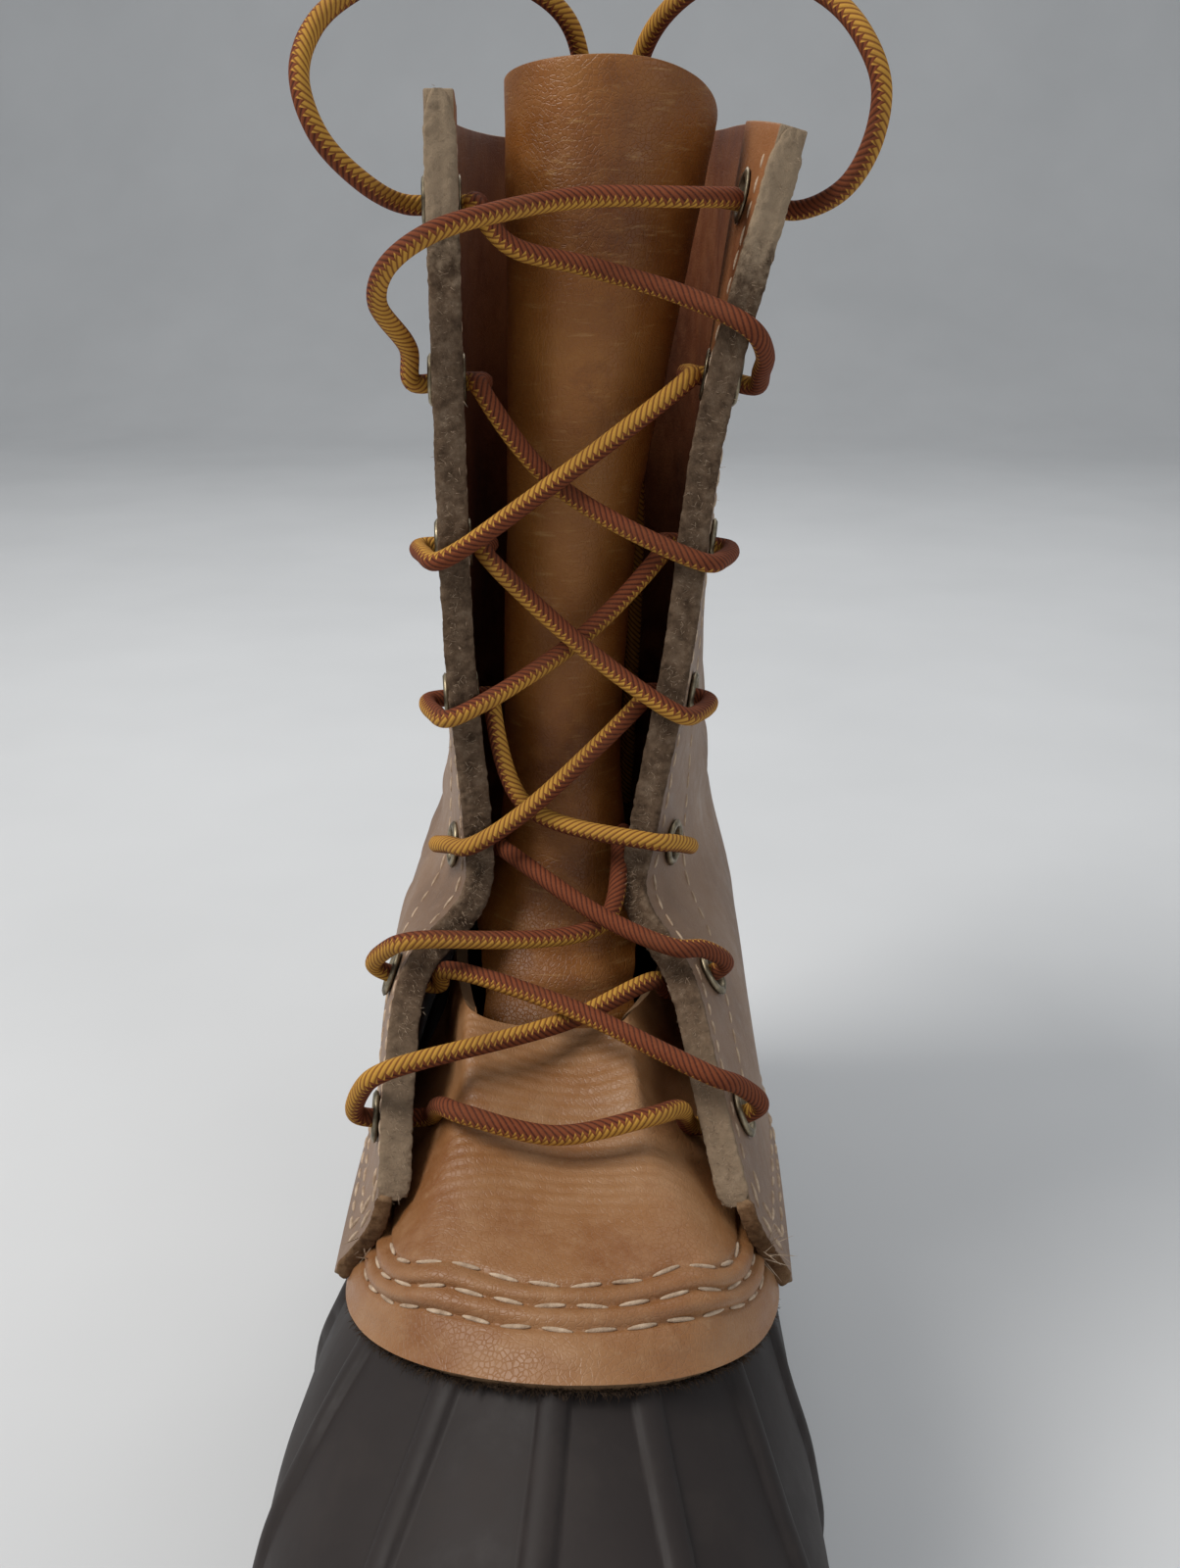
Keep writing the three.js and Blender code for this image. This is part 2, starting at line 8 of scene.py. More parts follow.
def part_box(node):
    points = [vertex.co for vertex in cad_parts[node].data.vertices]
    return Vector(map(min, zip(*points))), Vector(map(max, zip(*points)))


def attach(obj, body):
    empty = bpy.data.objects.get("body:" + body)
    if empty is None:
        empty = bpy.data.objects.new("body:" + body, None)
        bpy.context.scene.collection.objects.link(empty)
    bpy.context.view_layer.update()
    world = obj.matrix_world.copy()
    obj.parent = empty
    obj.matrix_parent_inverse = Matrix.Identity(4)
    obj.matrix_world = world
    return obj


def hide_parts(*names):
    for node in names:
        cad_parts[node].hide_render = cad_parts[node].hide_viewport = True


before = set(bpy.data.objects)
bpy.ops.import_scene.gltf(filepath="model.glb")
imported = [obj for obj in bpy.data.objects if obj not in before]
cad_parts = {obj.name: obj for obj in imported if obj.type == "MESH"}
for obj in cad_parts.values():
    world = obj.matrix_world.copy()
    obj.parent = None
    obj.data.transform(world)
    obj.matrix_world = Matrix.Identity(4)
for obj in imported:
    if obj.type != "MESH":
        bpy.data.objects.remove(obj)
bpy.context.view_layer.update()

mm = 0.001

# The frame's origin is under the middle of the boot; the shank's centre ties the boot's own lines to it.
shankY = 28
shankLow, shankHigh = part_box("shank")
middle = np.array([(shankLow[0] + shankHigh[0]) / 2, (shankLow[1] + shankHigh[1]) / 2 - shankY * mm, 0])


# ---- the boot's surface, in millimetres until placed() ----
outlines = [  # front, corner reach, side and cheek as lateral x, medial x, y, z, heel reach, back y, z
    ((5, -143, 16), 45, (-46, 44, -54, 9), (-37, 33, 38, 9), (-46, 46), (141, 9)),
    ((5, -150, 34), 48, (-52, 49.5, -55, 31), (-43, 39, 40, 30), (-49, 49), (149, 29)),
    ((5, -141, 56), 43, (-49.5, 47, -52, 53), (-44, 42, 38, 47), (-49, 49), (149, 46)),
    ((4.5, -116, 77), 31, (-44, 43, -47, 66), (-43, 43, 34, 56), (-48, 48), (147, 56)),
    ((4, -80, 92), 18, (-37, 39, -40, 77), (-43, 43, 30, 63), (-47, 47), (145, 64)),
    ((3, -60, 100), 17, (-28, 31.5, -44, 94), (-43.5, 43, 32, 76), (-46, 46), (143, 78)),
    ((2, -38, 112), 18, (-28.5, 26.5, -26, 107), (-43.5, 42, 40, 90), (-44, 44), (140, 92)),
    ((0, -14, 121), 18, (-28, 22, -5, 118), (-39.5, 38, 48, 104), (-42, 42), (138, 106)),
    ((-1, 4, 127), 12, (-18, 13.5, 8, 128), (-33.5, 34, 50, 120), (-40, 40), (137, 122)),
    ((-1, 8, 140), 9, (-17.5, 15, 13, 141), (-28, 30, 52, 139), (-38, 38), (136, 140)),
    ((0, 10, 175), 9, (-20, 21, 14, 176), (-24, 25.5, 52, 175), (-36, 36), (136, 175)),
    ((0, 10, 215), 9, (-20.5, 26, 14.5, 217), (-24.5, 28.5, 52, 216), (-36, 37), (138, 217)),
    ((4, 10, 262), 9, (-20.5, 38, 15, 264), (-24, 29, 54, 269), (-36, 38), (141, 268)),
]
topOutline = len(outlines) - 1
boot = {
    "leather": 2.3, "plyGap": 0.45, "gap": 0.3, "bedding": 1.1, "rubberWall": 3, "browReach": 0.34,
    "vampDrop": 11.2, "plateGap": 0.6, "outsole": 9, "spring": 7, "springStart": -60, "springRun": 90,
    "eyelets": 7, "pitch": 30, "fromTop": {-1: 17, 1: 12}, "fromEdge": 12, "lateralRise": 6, "stay": 23,
    "backstay": 30, "tongue": 2.5,
}
stack = boot["leather"] + boot["gap"]


def throughPoints(points, t):
    # uniform Catmull-Rom with straight ends, t from 0 to 1
    points = np.asarray(points, float)
    ends = np.vstack([2 * points[0] - points[1], points, 2 * points[-1] - points[-2]])
    s = np.clip(t, 0, 1) * (len(points) - 1)
    i = np.minimum(s.astype(int), len(points) - 2)
    w = (s - i)[:, None]
    a, b, c, d = ends[i], ends[i + 1], ends[i + 2], ends[i + 3]
    rise, fall = (c - a) / 2, (d - b) / 2
    return ((2 * w ** 3 - 3 * w ** 2 + 1) * b + (w ** 3 - 2 * w ** 2 + w) * rise
            + (3 * w ** 2 - 2 * w ** 3) * c + (w ** 3 - w ** 2) * fall)


def bezier(a, b, c, d, t):
    t = t[:, None]
    return (1 - t) ** 3 * a + 3 * (1 - t) ** 2 * t * b + 3 * (1 - t) * t ** 2 * c + t ** 3 * d


fronts = [o[0] for o in outlines]
backs = [(0, *o[5]) for o in outlines]


def sideTracks(side):
    x = 0 if side < 0 else 1
    rise = [0] * topOutline + [boot["lateralRise"] if side < 0 else 0]
    return {
        "corner": [(o[0][0] + side * o[1], o[0][1], o[0][2]) for o in outlines],
        "side": [(o[2][x], o[2][2], o[2][3] + up) for o, up in zip(outlines, rise)],
        "cheek": [(o[3][x], o[3][2], o[3][3]) for o in outlines],
        "heel": [(o[4][x], *o[5]) for o in outlines],
    }


tracks = {-1: sideTracks(-1), 1: sideTracks(1)}


def onOutline(place, outline):
    # place: -2 back, -1 lateral side, 0 front, 1 medial side, 2 back; outline: 0 sole to 12 collar
    t = outline / topOutline
    result = np.zeros((len(place), 3))
    for side, rows in tracks.items():
        own = place < 0 if side < 0 else place >= 0
        if not own.any():
            continue
        at, reach = t[own], np.abs(place[own])
        edge, cheek = throughPoints(rows["side"], at), throughPoints(rows["cheek"], at)
        brow = edge + (edge - cheek) * boot["browReach"]
        front, corner = throughPoints(fronts, at), throughPoints(rows["corner"], at)
        heel, back = throughPoints(rows["heel"], at), throughPoints(backs, at)
        ahead = bezier(front, corner, brow, edge, np.minimum(reach, 1))
        behind = bezier(edge, cheek, heel, back, np.maximum(reach - 1, 0))
        result[own] = np.where((reach > 1)[:, None], behind, ahead)
    return result


def normalAt(place, outline, probe=0.002):
    inside = np.clip(place, -2 + probe, 2 - probe)
    low, high = np.maximum(outline - 0.012, 0), np.minimum(outline + 0.012, topOutline)
    along = onOutline(inside + probe, outline) - onOutline(inside - probe, outline)
    up = onOutline(inside, high) - onOutline(inside, low)
    n = np.cross(along, up)
    return n / np.linalg.norm(n, axis=1)[:, None]


def offSurface(place, outline, offset):
    return onOutline(place, outline) + normalAt(place, outline) * np.reshape(offset, (-1, 1))


def placed(points):
    return np.asarray(points) * mm + middle


def ease(x, low, high):
    s = np.clip((x - low) / (high - low), 0, 1)
    return s * s * (3 - 2 * s)


def vampInset(outline):
    return boot["gap"] + boot["vampDrop"] * ease(outline, 4.5, 6.2)


def quarterInset(place, outline):
    return stack * ease(np.abs(place), 1.2, 1.4) * (1 - ease(outline, 5, 7))


def rubberInset(outline):
    return vampInset(outline) + boot["leather"] + boot["bedding"]


def stepSpeed(side, outline):
    # millimetres of surface for one unit of place, at a facing's raw edge
    t = np.atleast_1d(outline) / topOutline
    rows = tracks[side]
    return 3 * np.linalg.norm(throughPoints(rows["side"], t) - throughPoints(rows["cheek"], t), axis=1)


def placeFromEdge(side, outline, distance):
    return side * (1 + distance / stepSpeed(side, outline))


def outlineDownEdge(side, distance):
    t = np.linspace(1, 0, 1201)
    edge = throughPoints(tracks[side]["side"], t)
    run = np.concatenate([[0], np.cumsum(np.linalg.norm(np.diff(edge, axis=0), axis=1))])
    return float(np.interp(distance, run, t)) * topOutline


def eyeletSeat(side, index):
    fromTop = boot["fromTop"][side] + boot["pitch"] * (boot["eyelets"] - 1 - index)
    outline = np.array([outlineDownEdge(side, fromTop)])
    place = placeFromEdge(side, outline, boot["fromEdge"])
    return placed(onOutline(place, outline))[0], normalAt(place, outline)[0]


def fractal(points, size, octaves=3, seed=0.0):
    # smooth noise from -1 to 1 for each point, size in millimetres
    shift = Vector((seed, seed * 0.7, -seed))
    return np.array([noise.fractal(Vector(p) / size + shift, 1.0, 2.0, octaves) for p in points])


# ---- shader helpers ----
class Wire:
    # wraps a socket so that sums are written as plain expressions
    def __init__(self, shade, socket):
        self.shade, self.socket = shade, socket

    def math(self, kind, *values):
        return self.shade.node("ShaderNodeMath", {"operation": kind}, *values)

    def __add__(self, other):
        return self.math("ADD", self, other)

    def __radd__(self, other):
        return self.math("ADD", other, self)

    def __sub__(self, other):
        return self.math("SUBTRACT", self, other)

    def __rsub__(self, other):
        return self.math("SUBTRACT", other, self)

    def __mul__(self, other):
        return self.math("MULTIPLY", self, other)

    def __rmul__(self, other):
        return self.math("MULTIPLY", other, self)

    def __truediv__(self, other):
        return self.math("DIVIDE", self, other)


class Shade:
    def __init__(self, name, roughness, **constants):
        self.material = bpy.data.materials.new(name)
        self.material.use_nodes = True
        self.tree = self.material.node_tree
        self.surface = self.tree.nodes["Principled BSDF"]
        self.surface.inputs["Roughness"].default_value = roughness
        for socket, value in constants.items():
            self.surface.inputs[socket.replace("_", " ")].default_value = value

    def node(self, kind, settings, *values, output=0, **named):
        made = self.tree.nodes.new(kind)
        stops = settings.pop("stops", None)
        for key, value in settings.items():
            setattr(made, key, value)
        if stops:
            ramp = made.color_ramp
            while len(ramp.elements) < len(stops):
                ramp.elements.new(0.5)
            for element, (position, colour) in zip(ramp.elements, stops):
                element.position = position
                element.color = (*colour, 1) if len(colour) == 3 else (colour[0],) * 3 + (1,)
        pairs = list(enumerate(values)) + [(key.replace("_", " "), value) for key, value in named.items()]
        for key, value in pairs:
            if isinstance(value, Wire):
                self.tree.links.new(value.socket, made.inputs[key])
            else:
                made.inputs[key].default_value = value
        return Wire(self, made.outputs[output])

    def feed(self, socket, wire):
        self.tree.links.new(wire.socket, self.surface.inputs[socket])

    def objectPoint(self, scale=(1, 1, 1), turn=(0, 0, 0)):
        spot = self.node("ShaderNodeTexCoord", {}, output="Object")
        return self.node("ShaderNodeMapping", {}, Vector=spot, Scale=scale, Rotation=turn)

    def uvParts(self):
        spot = self.node("ShaderNodeUVMap", {"uv_map": "UVMap"})
        split = self.node("ShaderNodeSeparateXYZ", {}, spot)
        return split, Wire(self, split.socket.node.outputs["Y"])

    def cloud(self, point, scale, detail=4.0, roughness=0.55):
        return self.node("ShaderNodeTexNoise", {}, Vector=point, Scale=scale, Detail=detail,
                         Roughness=roughness)

    def cells(self, point, scale):
        return self.node("ShaderNodeTexVoronoi", {"feature": "DISTANCE_TO_EDGE"}, Vector=point, Scale=scale)

    def ramp(self, factor, *stops):
        return self.node("ShaderNodeValToRGB", {"stops": list(stops)}, factor)

    def blend(self, factor, a, b, kind="MIX"):
        mix = self.node("ShaderNodeMix", {"data_type": "RGBA", "blend_type": kind}, output=2)
        for index, value in ((0, factor), (6, a), (7, b)):
            if isinstance(value, Wire):
                self.tree.links.new(value.socket, mix.socket.node.inputs[index])
            elif index:
                mix.socket.node.inputs[index].default_value = (*value, 1)
            else:
                mix.socket.node.inputs[index].default_value = value
        return mix

    def bump(self, height, strength, distance):
        raised = self.node("ShaderNodeBump", {}, Height=height, Strength=strength, Distance=distance)
        self.feed("Normal", raised)


# ---- materials ----
def leatherMaterial(name, look):
    shade = Shade(name, look["roughness"], Specular_IOR_Level=0.4)
    point = shade.objectPoint()
    flecked = shade.objectPoint(scale=look.get("fleckScale", (1, 1, 1)))
    broad = shade.cloud(point, look["patches"], 5)
    fine = shade.cloud(point, 260, 5, 0.65)
    flecks = shade.cloud(flecked, 340, 4, 0.7)
    pores = shade.cells(point, 1100)
    tone = shade.ramp(broad, (0.3, look["dark"]), (0.5, look["main"]), (0.72, look["light"]))
    mottled = shade.blend(shade.ramp(fine, (0.42, (0,)), (0.75, (1,))) * 0.35, tone, look["light"])
    scuffs = shade.ramp(flecks, (0.58, (0,)), (0.72, (1,))) * look.get("fleck", 0.35)
    worn = shade.blend(scuffs, mottled, look["scuff"])
    stains = shade.cloud(shade.objectPoint(turn=(0.4, 0.2, 0)), 60, 6, 0.7)
    soil = shade.ramp(stains, (0.56, (0,)), (0.78, (1,))) * look.get("stain", 0.4)
    dirty = shade.blend(soil, worn, look["dark"])
    shade.feed("Base Color", dirty)
    smoothest, roughest = look["roughness"] - 0.08, look["roughness"] + 0.12
    shade.feed("Roughness", shade.ramp(fine, (0.3, (smoothest,)), (0.7, (roughest,))))
    pitted = shade.ramp(pores, (0.0, (0,)), (0.12, (1,))) * 0.4
    relief = pitted + fine * 0.7 + flecks * look.get("fleckBump", 0.3)
    shade.bump(relief, look.get("bump", 0.35), 0.0004)
    return shade.material


def rawEdgeMaterial(name, look):
    shade = Shade(name, 0.95, Specular_IOR_Level=0.1)
    point = shade.objectPoint()
    fibre = shade.cloud(point, 3600, 6, 0.75)
    clump = shade.cloud(point, 330, 6, 0.7)
    tone = shade.ramp(clump, (0.3, look["dark"]), (0.52, look["main"]), (0.75, look["light"]))
    specks = shade.ramp(fibre, (0.35, (0,)), (0.68, (1,)))
    fibrous = shade.blend(specks * 0.6, shade.blend(0.55, tone, look["dark"]), tone)
    _, along = shade.uvParts()
    ends = shade.ramp(along + clump * 0.1, (0.12, (0.55,)), (0.3, (0,)), (0.97, (0,)), (1.0, (1,)))
    shade.feed("Base Color", shade.blend(ends * 0.7, fibrous, look["pale"]))
    shade.bump(fibre * 0.7 + clump * 0.6, 0.9, 0.0005)
    return shade.material


def rubberMaterial():
    shade = Shade("rubberBrown", 0.62, Specular_IOR_Level=0.3)
    point = shade.objectPoint()
    broad = shade.cloud(point, 22, 5)
    fine = shade.cloud(point, 420, 4, 0.6)
    dust = shade.cloud(point, 70, 6, 0.7)
    tone = shade.ramp(broad, (0.3, (0.014, 0.0102, 0.0094)), (0.7, (0.025, 0.0184, 0.0168)))
    dusty = shade.blend(shade.ramp(dust, (0.5, (0,)), (0.85, (1,))) * 0.3, tone, (0.066, 0.052, 0.044))
    shade.feed("Base Color", dusty)
    shade.feed("Roughness", shade.ramp(dust, (0.3, (0.55,)), (0.75, (0.72,))))
    shade.bump(fine * 0.5 + dust * 0.4, 0.12, 0.0005)
    return shade.material


def laceMaterial(look):
    shade = Shade("laceBraid", 0.85, Specular_IOR_Level=0.2)
    around, along = shade.uvParts()
    picks = along / look["pick"]
    turn = around * (2 * math.pi)
    facing = turn.math("COSINE", turn)
    tooth = picks.math("PINGPONG", picks, 0.5) * 4 - 1
    edge = facing + tooth * look["tooth"] - look["rustShare"]
    isGold = edge.math("GREATER_THAN", edge, 0)
    slant = picks + around * look["slant"]
    yarn = slant.math("PINGPONG", slant, 0.5) * 2
    back = picks - around * look["slant"]
    cross = back.math("PINGPONG", back, 0.5) * 2
    fuzz = shade.cloud(shade.objectPoint(), 2600, 4, 0.7)
    soil = shade.cloud(shade.objectPoint(), 90, 4)
    gold = shade.blend(shade.ramp(yarn, (0.15, (0,)), (0.55, (1,))), look["goldDark"], look["gold"])
    rust = shade.blend(shade.ramp(cross, (0.1, (0,)), (0.6, (1,))), look["rustDark"], look["rust"])
    braid = shade.blend(isGold, rust, gold)
    soiled = shade.blend(shade.ramp(soil, (0.45, (0,)), (0.75, (1,))) * 0.35, braid, look["soil"])
    worn = shade.blend(shade.ramp(fuzz, (0.5, (0,)), (0.8, (1,))) * 0.22, soiled, look["fuzz"])
    shade.feed("Base Color", worn)
    relief = yarn * isGold + cross * (1 - isGold)
    shade.bump(relief * 0.8 + fuzz * 0.5, 0.55, 0.00025)
    return shade.material


def threadMaterial():
    shade = Shade("threadCream", 0.8, Specular_IOR_Level=0.25)
    point = shade.objectPoint()
    tone = shade.ramp(shade.cloud(point, 500, 4), (0.3, (0.3, 0.2, 0.13)), (0.7, (0.6, 0.46, 0.33)))
    shade.feed("Base Color", tone)
    shade.bump(shade.cloud(point, 3000, 3), 0.6, 0.0003)
    return shade.material


def metalMaterial(name, look):
    shade = Shade(name, look["roughness"], Metallic=look.get("metallic", 1.0))
    point = shade.objectPoint()
    tarnish = shade.cloud(point, 400, 5, 0.65)
    shade.feed("Base Color", shade.ramp(tarnish, (0.3, look["dark"]), (0.65, look["main"])))
    dull = look["roughness"] + 0.2
    shade.feed("Roughness", shade.ramp(tarnish, (0.3, (dull,)), (0.7, (look["roughness"],))))
    shade.bump(tarnish, 0.2, 0.0003)
    return shade.material


def softMaterial(name, dark, light, scale):
    shade = Shade(name, 0.95, Specular_IOR_Level=0.15)
    point = shade.objectPoint()
    fibre = shade.cloud(point, scale, 6, 0.7)
    shade.feed("Base Color", shade.ramp(fibre, (0.35, dark), (0.68, light)))
    shade.bump(fibre, 0.7, 0.0006)
    return shade.material


tans = {
    "vamp": {"dark": (0.2, 0.072, 0.02), "main": (0.28, 0.128, 0.048), "light": (0.38, 0.215, 0.108),
             "scuff": (0.46, 0.3, 0.17), "roughness": 0.42, "stain": 0.6, "fleck": 0.22, "patches": 30},
    "quarter": {"dark": (0.13, 0.075, 0.045), "main": (0.21, 0.125, 0.075), "light": (0.27, 0.175, 0.115),
                "scuff": (0.34, 0.24, 0.165), "roughness": 0.52, "stain": 0.45, "fleck": 0.25, "patches": 30},
    "lining": {"dark": (0.045, 0.012, 0.005), "main": (0.12, 0.034, 0.011), "light": (0.21, 0.075, 0.024),
               "scuff": (0.3, 0.13, 0.05), "roughness": 0.55, "stain": 0.5, "fleck": 0.2, "patches": 26},
    "facing": {"dark": (0.14, 0.045, 0.014), "main": (0.25, 0.095, 0.03), "light": (0.34, 0.15, 0.055),
               "scuff": (0.42, 0.22, 0.1), "roughness": 0.52, "stain": 0.4, "fleck": 0.2, "patches": 26},
    "tongue": {"dark": (0.1, 0.026, 0.004), "main": (0.25, 0.088, 0.0155), "light": (0.34, 0.145, 0.03),
               "scuff": (0.5, 0.29, 0.11), "roughness": 0.42, "stain": 0.7, "fleck": 0.4, "patches": 17,
               "fleckScale": (0.4, 0.4, 3.4), "fleckBump": 0.5, "bump": 0.4},
}
rawLooks = {
    "taupe": {"dark": (0.05, 0.03, 0.018), "main": (0.2, 0.132, 0.084), "light": (0.37, 0.27, 0.185),
              "pale": (0.44, 0.33, 0.22)},
    "brown": {"dark": (0.06, 0.028, 0.012), "main": (0.2, 0.11, 0.055), "light": (0.34, 0.21, 0.115),
              "pale": (0.34, 0.21, 0.115)},
}
materials = {name: leatherMaterial(f"{name}Leather", look) for name, look in tans.items()}
materials.update({name: rawEdgeMaterial(f"{name}RawEdge", look) for name, look in rawLooks.items()})
materials["rubber"] = rubberMaterial()
materials["thread"] = threadMaterial()
materials["fibre"] = softMaterial("darkFibre", (0.03, 0.018, 0.01), (0.11, 0.07, 0.045), 900)
materials["paleFibre"] = softMaterial("paleFibre", (0.3, 0.21, 0.14), (0.5, 0.38, 0.27), 900)
materials["eyelet"] = metalMaterial("dullBrass", {"dark": (0.1, 0.085, 0.06), "main": (0.36, 0.3, 0.2),
                                                  "roughness": 0.38})
materials["steel"] = metalMaterial("plainSteel", {"dark": (0.25, 0.25, 0.26), "main": (0.5, 0.5, 0.51),
                                                  "roughness": 0.35})
materials["tip"] = metalMaterial("heatedTip", {"dark": (0.06, 0.035, 0.02), "main": (0.12, 0.07, 0.035),
                                               "roughness": 0.4, "metallic": 0.0})
materials["foam"] = softMaterial("paleFoam", (0.45, 0.42, 0.36), (0.66, 0.62, 0.55), 1400)
materials["felt"] = softMaterial("greyFelt", (0.1, 0.085, 0.07), (0.24, 0.2, 0.165), 900)
materials["lace"] = laceMaterial({
    "pick": 0.00125, "slant": 8, "tooth": 0.4, "rustShare": 0.3, "gold": (0.52, 0.27, 0.045),
    "goldDark": (0.2, 0.075, 0.016), "rust": (0.185, 0.047, 0.017), "rustDark": (0.06, 0.014, 0.007),
    "fuzz": (0.36, 0.15, 0.06), "soil": (0.12, 0.045, 0.02),
})
print("materials made")


# ---- mesh helpers ----
def show(bm, name, stuffs, body, nodeNames=()):
    mesh = bpy.data.meshes.new(name)
    bm.to_mesh(mesh)
    bm.free()
    mesh.shade_smooth()
    for stuff in stuffs:
        mesh.materials.append(materials[stuff])
    piece = bpy.data.objects.new(name, mesh)
    bpy.context.collection.objects.link(piece)
    if nodeNames:
        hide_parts(*nodeNames)
    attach(piece, body)
    return piece


def spread(across, along, shape, closeRound=False):
    # a grid laid on shape(u, v), which returns millimetres
    bm = bmesh.new()
    bmesh.ops.create_grid(bm, x_segments=across, y_segments=along, size=0.5)
    uv = np.array([(v.co.x + 0.5, v.co.y + 0.5) for v in bm.verts])
    bm.verts.index_update()
    layer = bm.loops.layers.uv.new("UVMap")
    for face in bm.faces:
        for loop in face.loops:
            loop[layer].uv = uv[loop.vert.index]
    points = placed(shape(uv[:, 0], uv[:, 1]))
    for vert, p in zip(bm.verts, points):
        vert.co = p
    if closeRound:
        bmesh.ops.remove_doubles(bm, verts=bm.verts, dist=1e-6)
    return bm


def thicken(piece, thickness, rim=0, inner=0, bevel=0.35):
    solid = piece.modifiers.new("ply", "SOLIDIFY")
    solid.thickness = thickness * mm
    solid.offset = -1
    solid.use_quality_normals = True
    solid.material_offset = inner
    solid.material_offset_rim = rim
    if bevel:
        rounded = piece.modifiers.new("edge", "BEVEL")
        rounded.width = bevel * mm
        rounded.segments = 2
        rounded.limit_method = "ANGLE"
        rounded.angle_limit = math.radians(60)
    return piece


# ---- camera ----
view = {"spot": (11.3, -248, 250), "turn": 1.5, "pitch": 21, "lens": 33.75}
camera = bpy.data.cameras.new("camera")
camera.lens = view["lens"]
camera.sensor_width = 36
camera.clip_start = 0.01
eye = bpy.data.objects.new("camera", camera)
eye.matrix_world = (Matrix.Translation(placed(view["spot"]))
                    @ Matrix.Rotation(math.radians(view["turn"]), 4, "Z")
                    @ Matrix.Rotation(math.radians(90 - view["pitch"]), 4, "X"))
bpy.context.collection.objects.link(eye)
bpy.context.scene.camera = eye


# ---- lace ----
lace = {"diameter": 3.4, "sides": 20, "step": 0.6, "ripple": 0.018, "pick": 1.15}
laceRoute = [
    (-2, 80, 118), (-3, 76, 144), (-3, 73, 172), (-2, 70, 200), (0, 66, 230), (2, 60, 258), (2, 53, 276),
    (-1, 46, 284), (-10, 38, 289), (-22.5, 30, 290.5), (-33.5, 24, 286), (-40.5, 18, 279.5),
    (-42.5, 13, 271.5), (-40, 13, 263), (-34, 18, 256), (-28, 25.5, 252.5), (-22, 28, 252.5),
    (-15.5, 27, 252.5), (-15.5, 21, 252.5), (-9.5, 18.5, 246), (4, 19, 242.5), (20.5, 13.5, 238),
    (31.5, 10, 233), (34.5, 15, 228.5), (34.5, 21, 225), (34, 26, 222), (28, 28, 223), (21.5, 27, 224),
    (22, 20.5, 224), (-2.5, 14.5, 206), (-22.5, 11, 193), (-26, 16.5, 193), (-27.5, 25.5, 192.5),
    (-21.5, 27.5, 192.5), (-15, 26.5, 193), (-15.5, 20, 193), (2.5, 14, 177), (21.5, 10.5, 164.5),
    (25, 15.5, 163.5), (27, 24.5, 163), (21.5, 27, 163.5), (15, 26.5, 164), (14.5, 20, 164.5),
    (-8, 10, 145), (-18.5, 8.5, 138.5), (-23, 13, 137), (-26, 21, 133.5), (-20.5, 23.5, 132),
    (-14.5, 23.5, 132), (-12.5, 15.5, 135), (7, -0.5, 128.5), (20.5, -7, 125.5), (26, -3.5, 123.5),
    (30.5, 2, 117.5), (26, 3.5, 113.5), (20, 3, 111), (17.5, -1, 115.5), (0.5, -14.5, 114),
    (-30, -31.5, 113.5), (-34, -29.5, 109), (-36, -25.5, 101), (-30, -23.5, 99), (-23.5, -23.5, 99.5),
    (-20.5, -30, 106), (-16, -36, 108.5), (0, -39, 106.5), (16, -36, 108.5), (21, -30, 106),
    (24, -23, 98), (30.5, -23, 99.5), (35.5, -24, 103), (31.5, -28.5, 110), (26.5, -31, 113.5),
    (0.5, -15.5, 118), (-23, -1, 117), (-24.5, 2.5, 112), (-31, 3, 113), (-36.5, 1.5, 116.5),
    (-32.5, -3.5, 123), (-28, -6.5, 126), (7, 2.5, 125.5), (10.5, 18.5, 137), (12, 24.5, 134.5),
    (18.5, 24, 133.5), (24, 20.5, 134), (20.5, 12.5, 138), (16, 8.5, 140), (-8, 14, 145),
    (-14.5, 20, 163), (-14.5, 26.5, 163), (-21, 27, 162.5), (-27, 24.5, 162.5), (-25, 15.5, 163),
    (-21.5, 10.5, 163.5), (2.5, 18, 177), (18, 20, 193.5), (17.5, 26.5, 193.5), (24, 27.5, 193),
    (30, 25.5, 192.5), (28.5, 16.5, 192.5), (25, 11, 193), (-2.5, 18.5, 206), (-15.5, 20.5, 222.5),
    (-15.5, 27, 222.5), (-22, 28, 222.5), (-28, 26, 222.5), (-28, 22.5, 228.5), (-31.5, 12, 237),
    (-28.5, 6, 243), (-21, 3.5, 248), (-9, 8.5, 251.5), (4, 13.5, 253.5), (20, 13, 253.5),
    (28.5, 19.5, 253.5), (27, 26, 253.5), (33.5, 28, 252.5), (40, 26.5, 251.5), (47, 19, 255),
    (50.5, 14, 262), (51, 12, 270), (48, 13, 277), (43, 17, 283), (35, 23, 287.5), (26.5, 31, 288.5),
    (18.5, 39, 285), (13, 48, 278), (11, 56, 264), (11, 62, 247), (12, 67, 226), (13, 71, 200),
    (13, 75, 172), (12, 79, 144), (11, 84, 118),
]


# degrees the braid's gold half is turned, at numbered points of the route: 0 has it below the strand,
# 90 towards someone looking down from in front of the toe, 180 above the strand
goldTurns = {
    4: 90, 9: 150, 14: 170, 20: -18, 29: 160, 36: -15, 43: 145, 50: -60, 52: -140, 57: -190, 65: -372,
    70: -540, 73: -365, 78: -300, 80: -375, 84: -470, 87: -600, 94: -735, 101: -742, 111: -715, 117: -740,
    122: -580, 128: -630,
}
viewer = np.array((11, -248, 250.0))


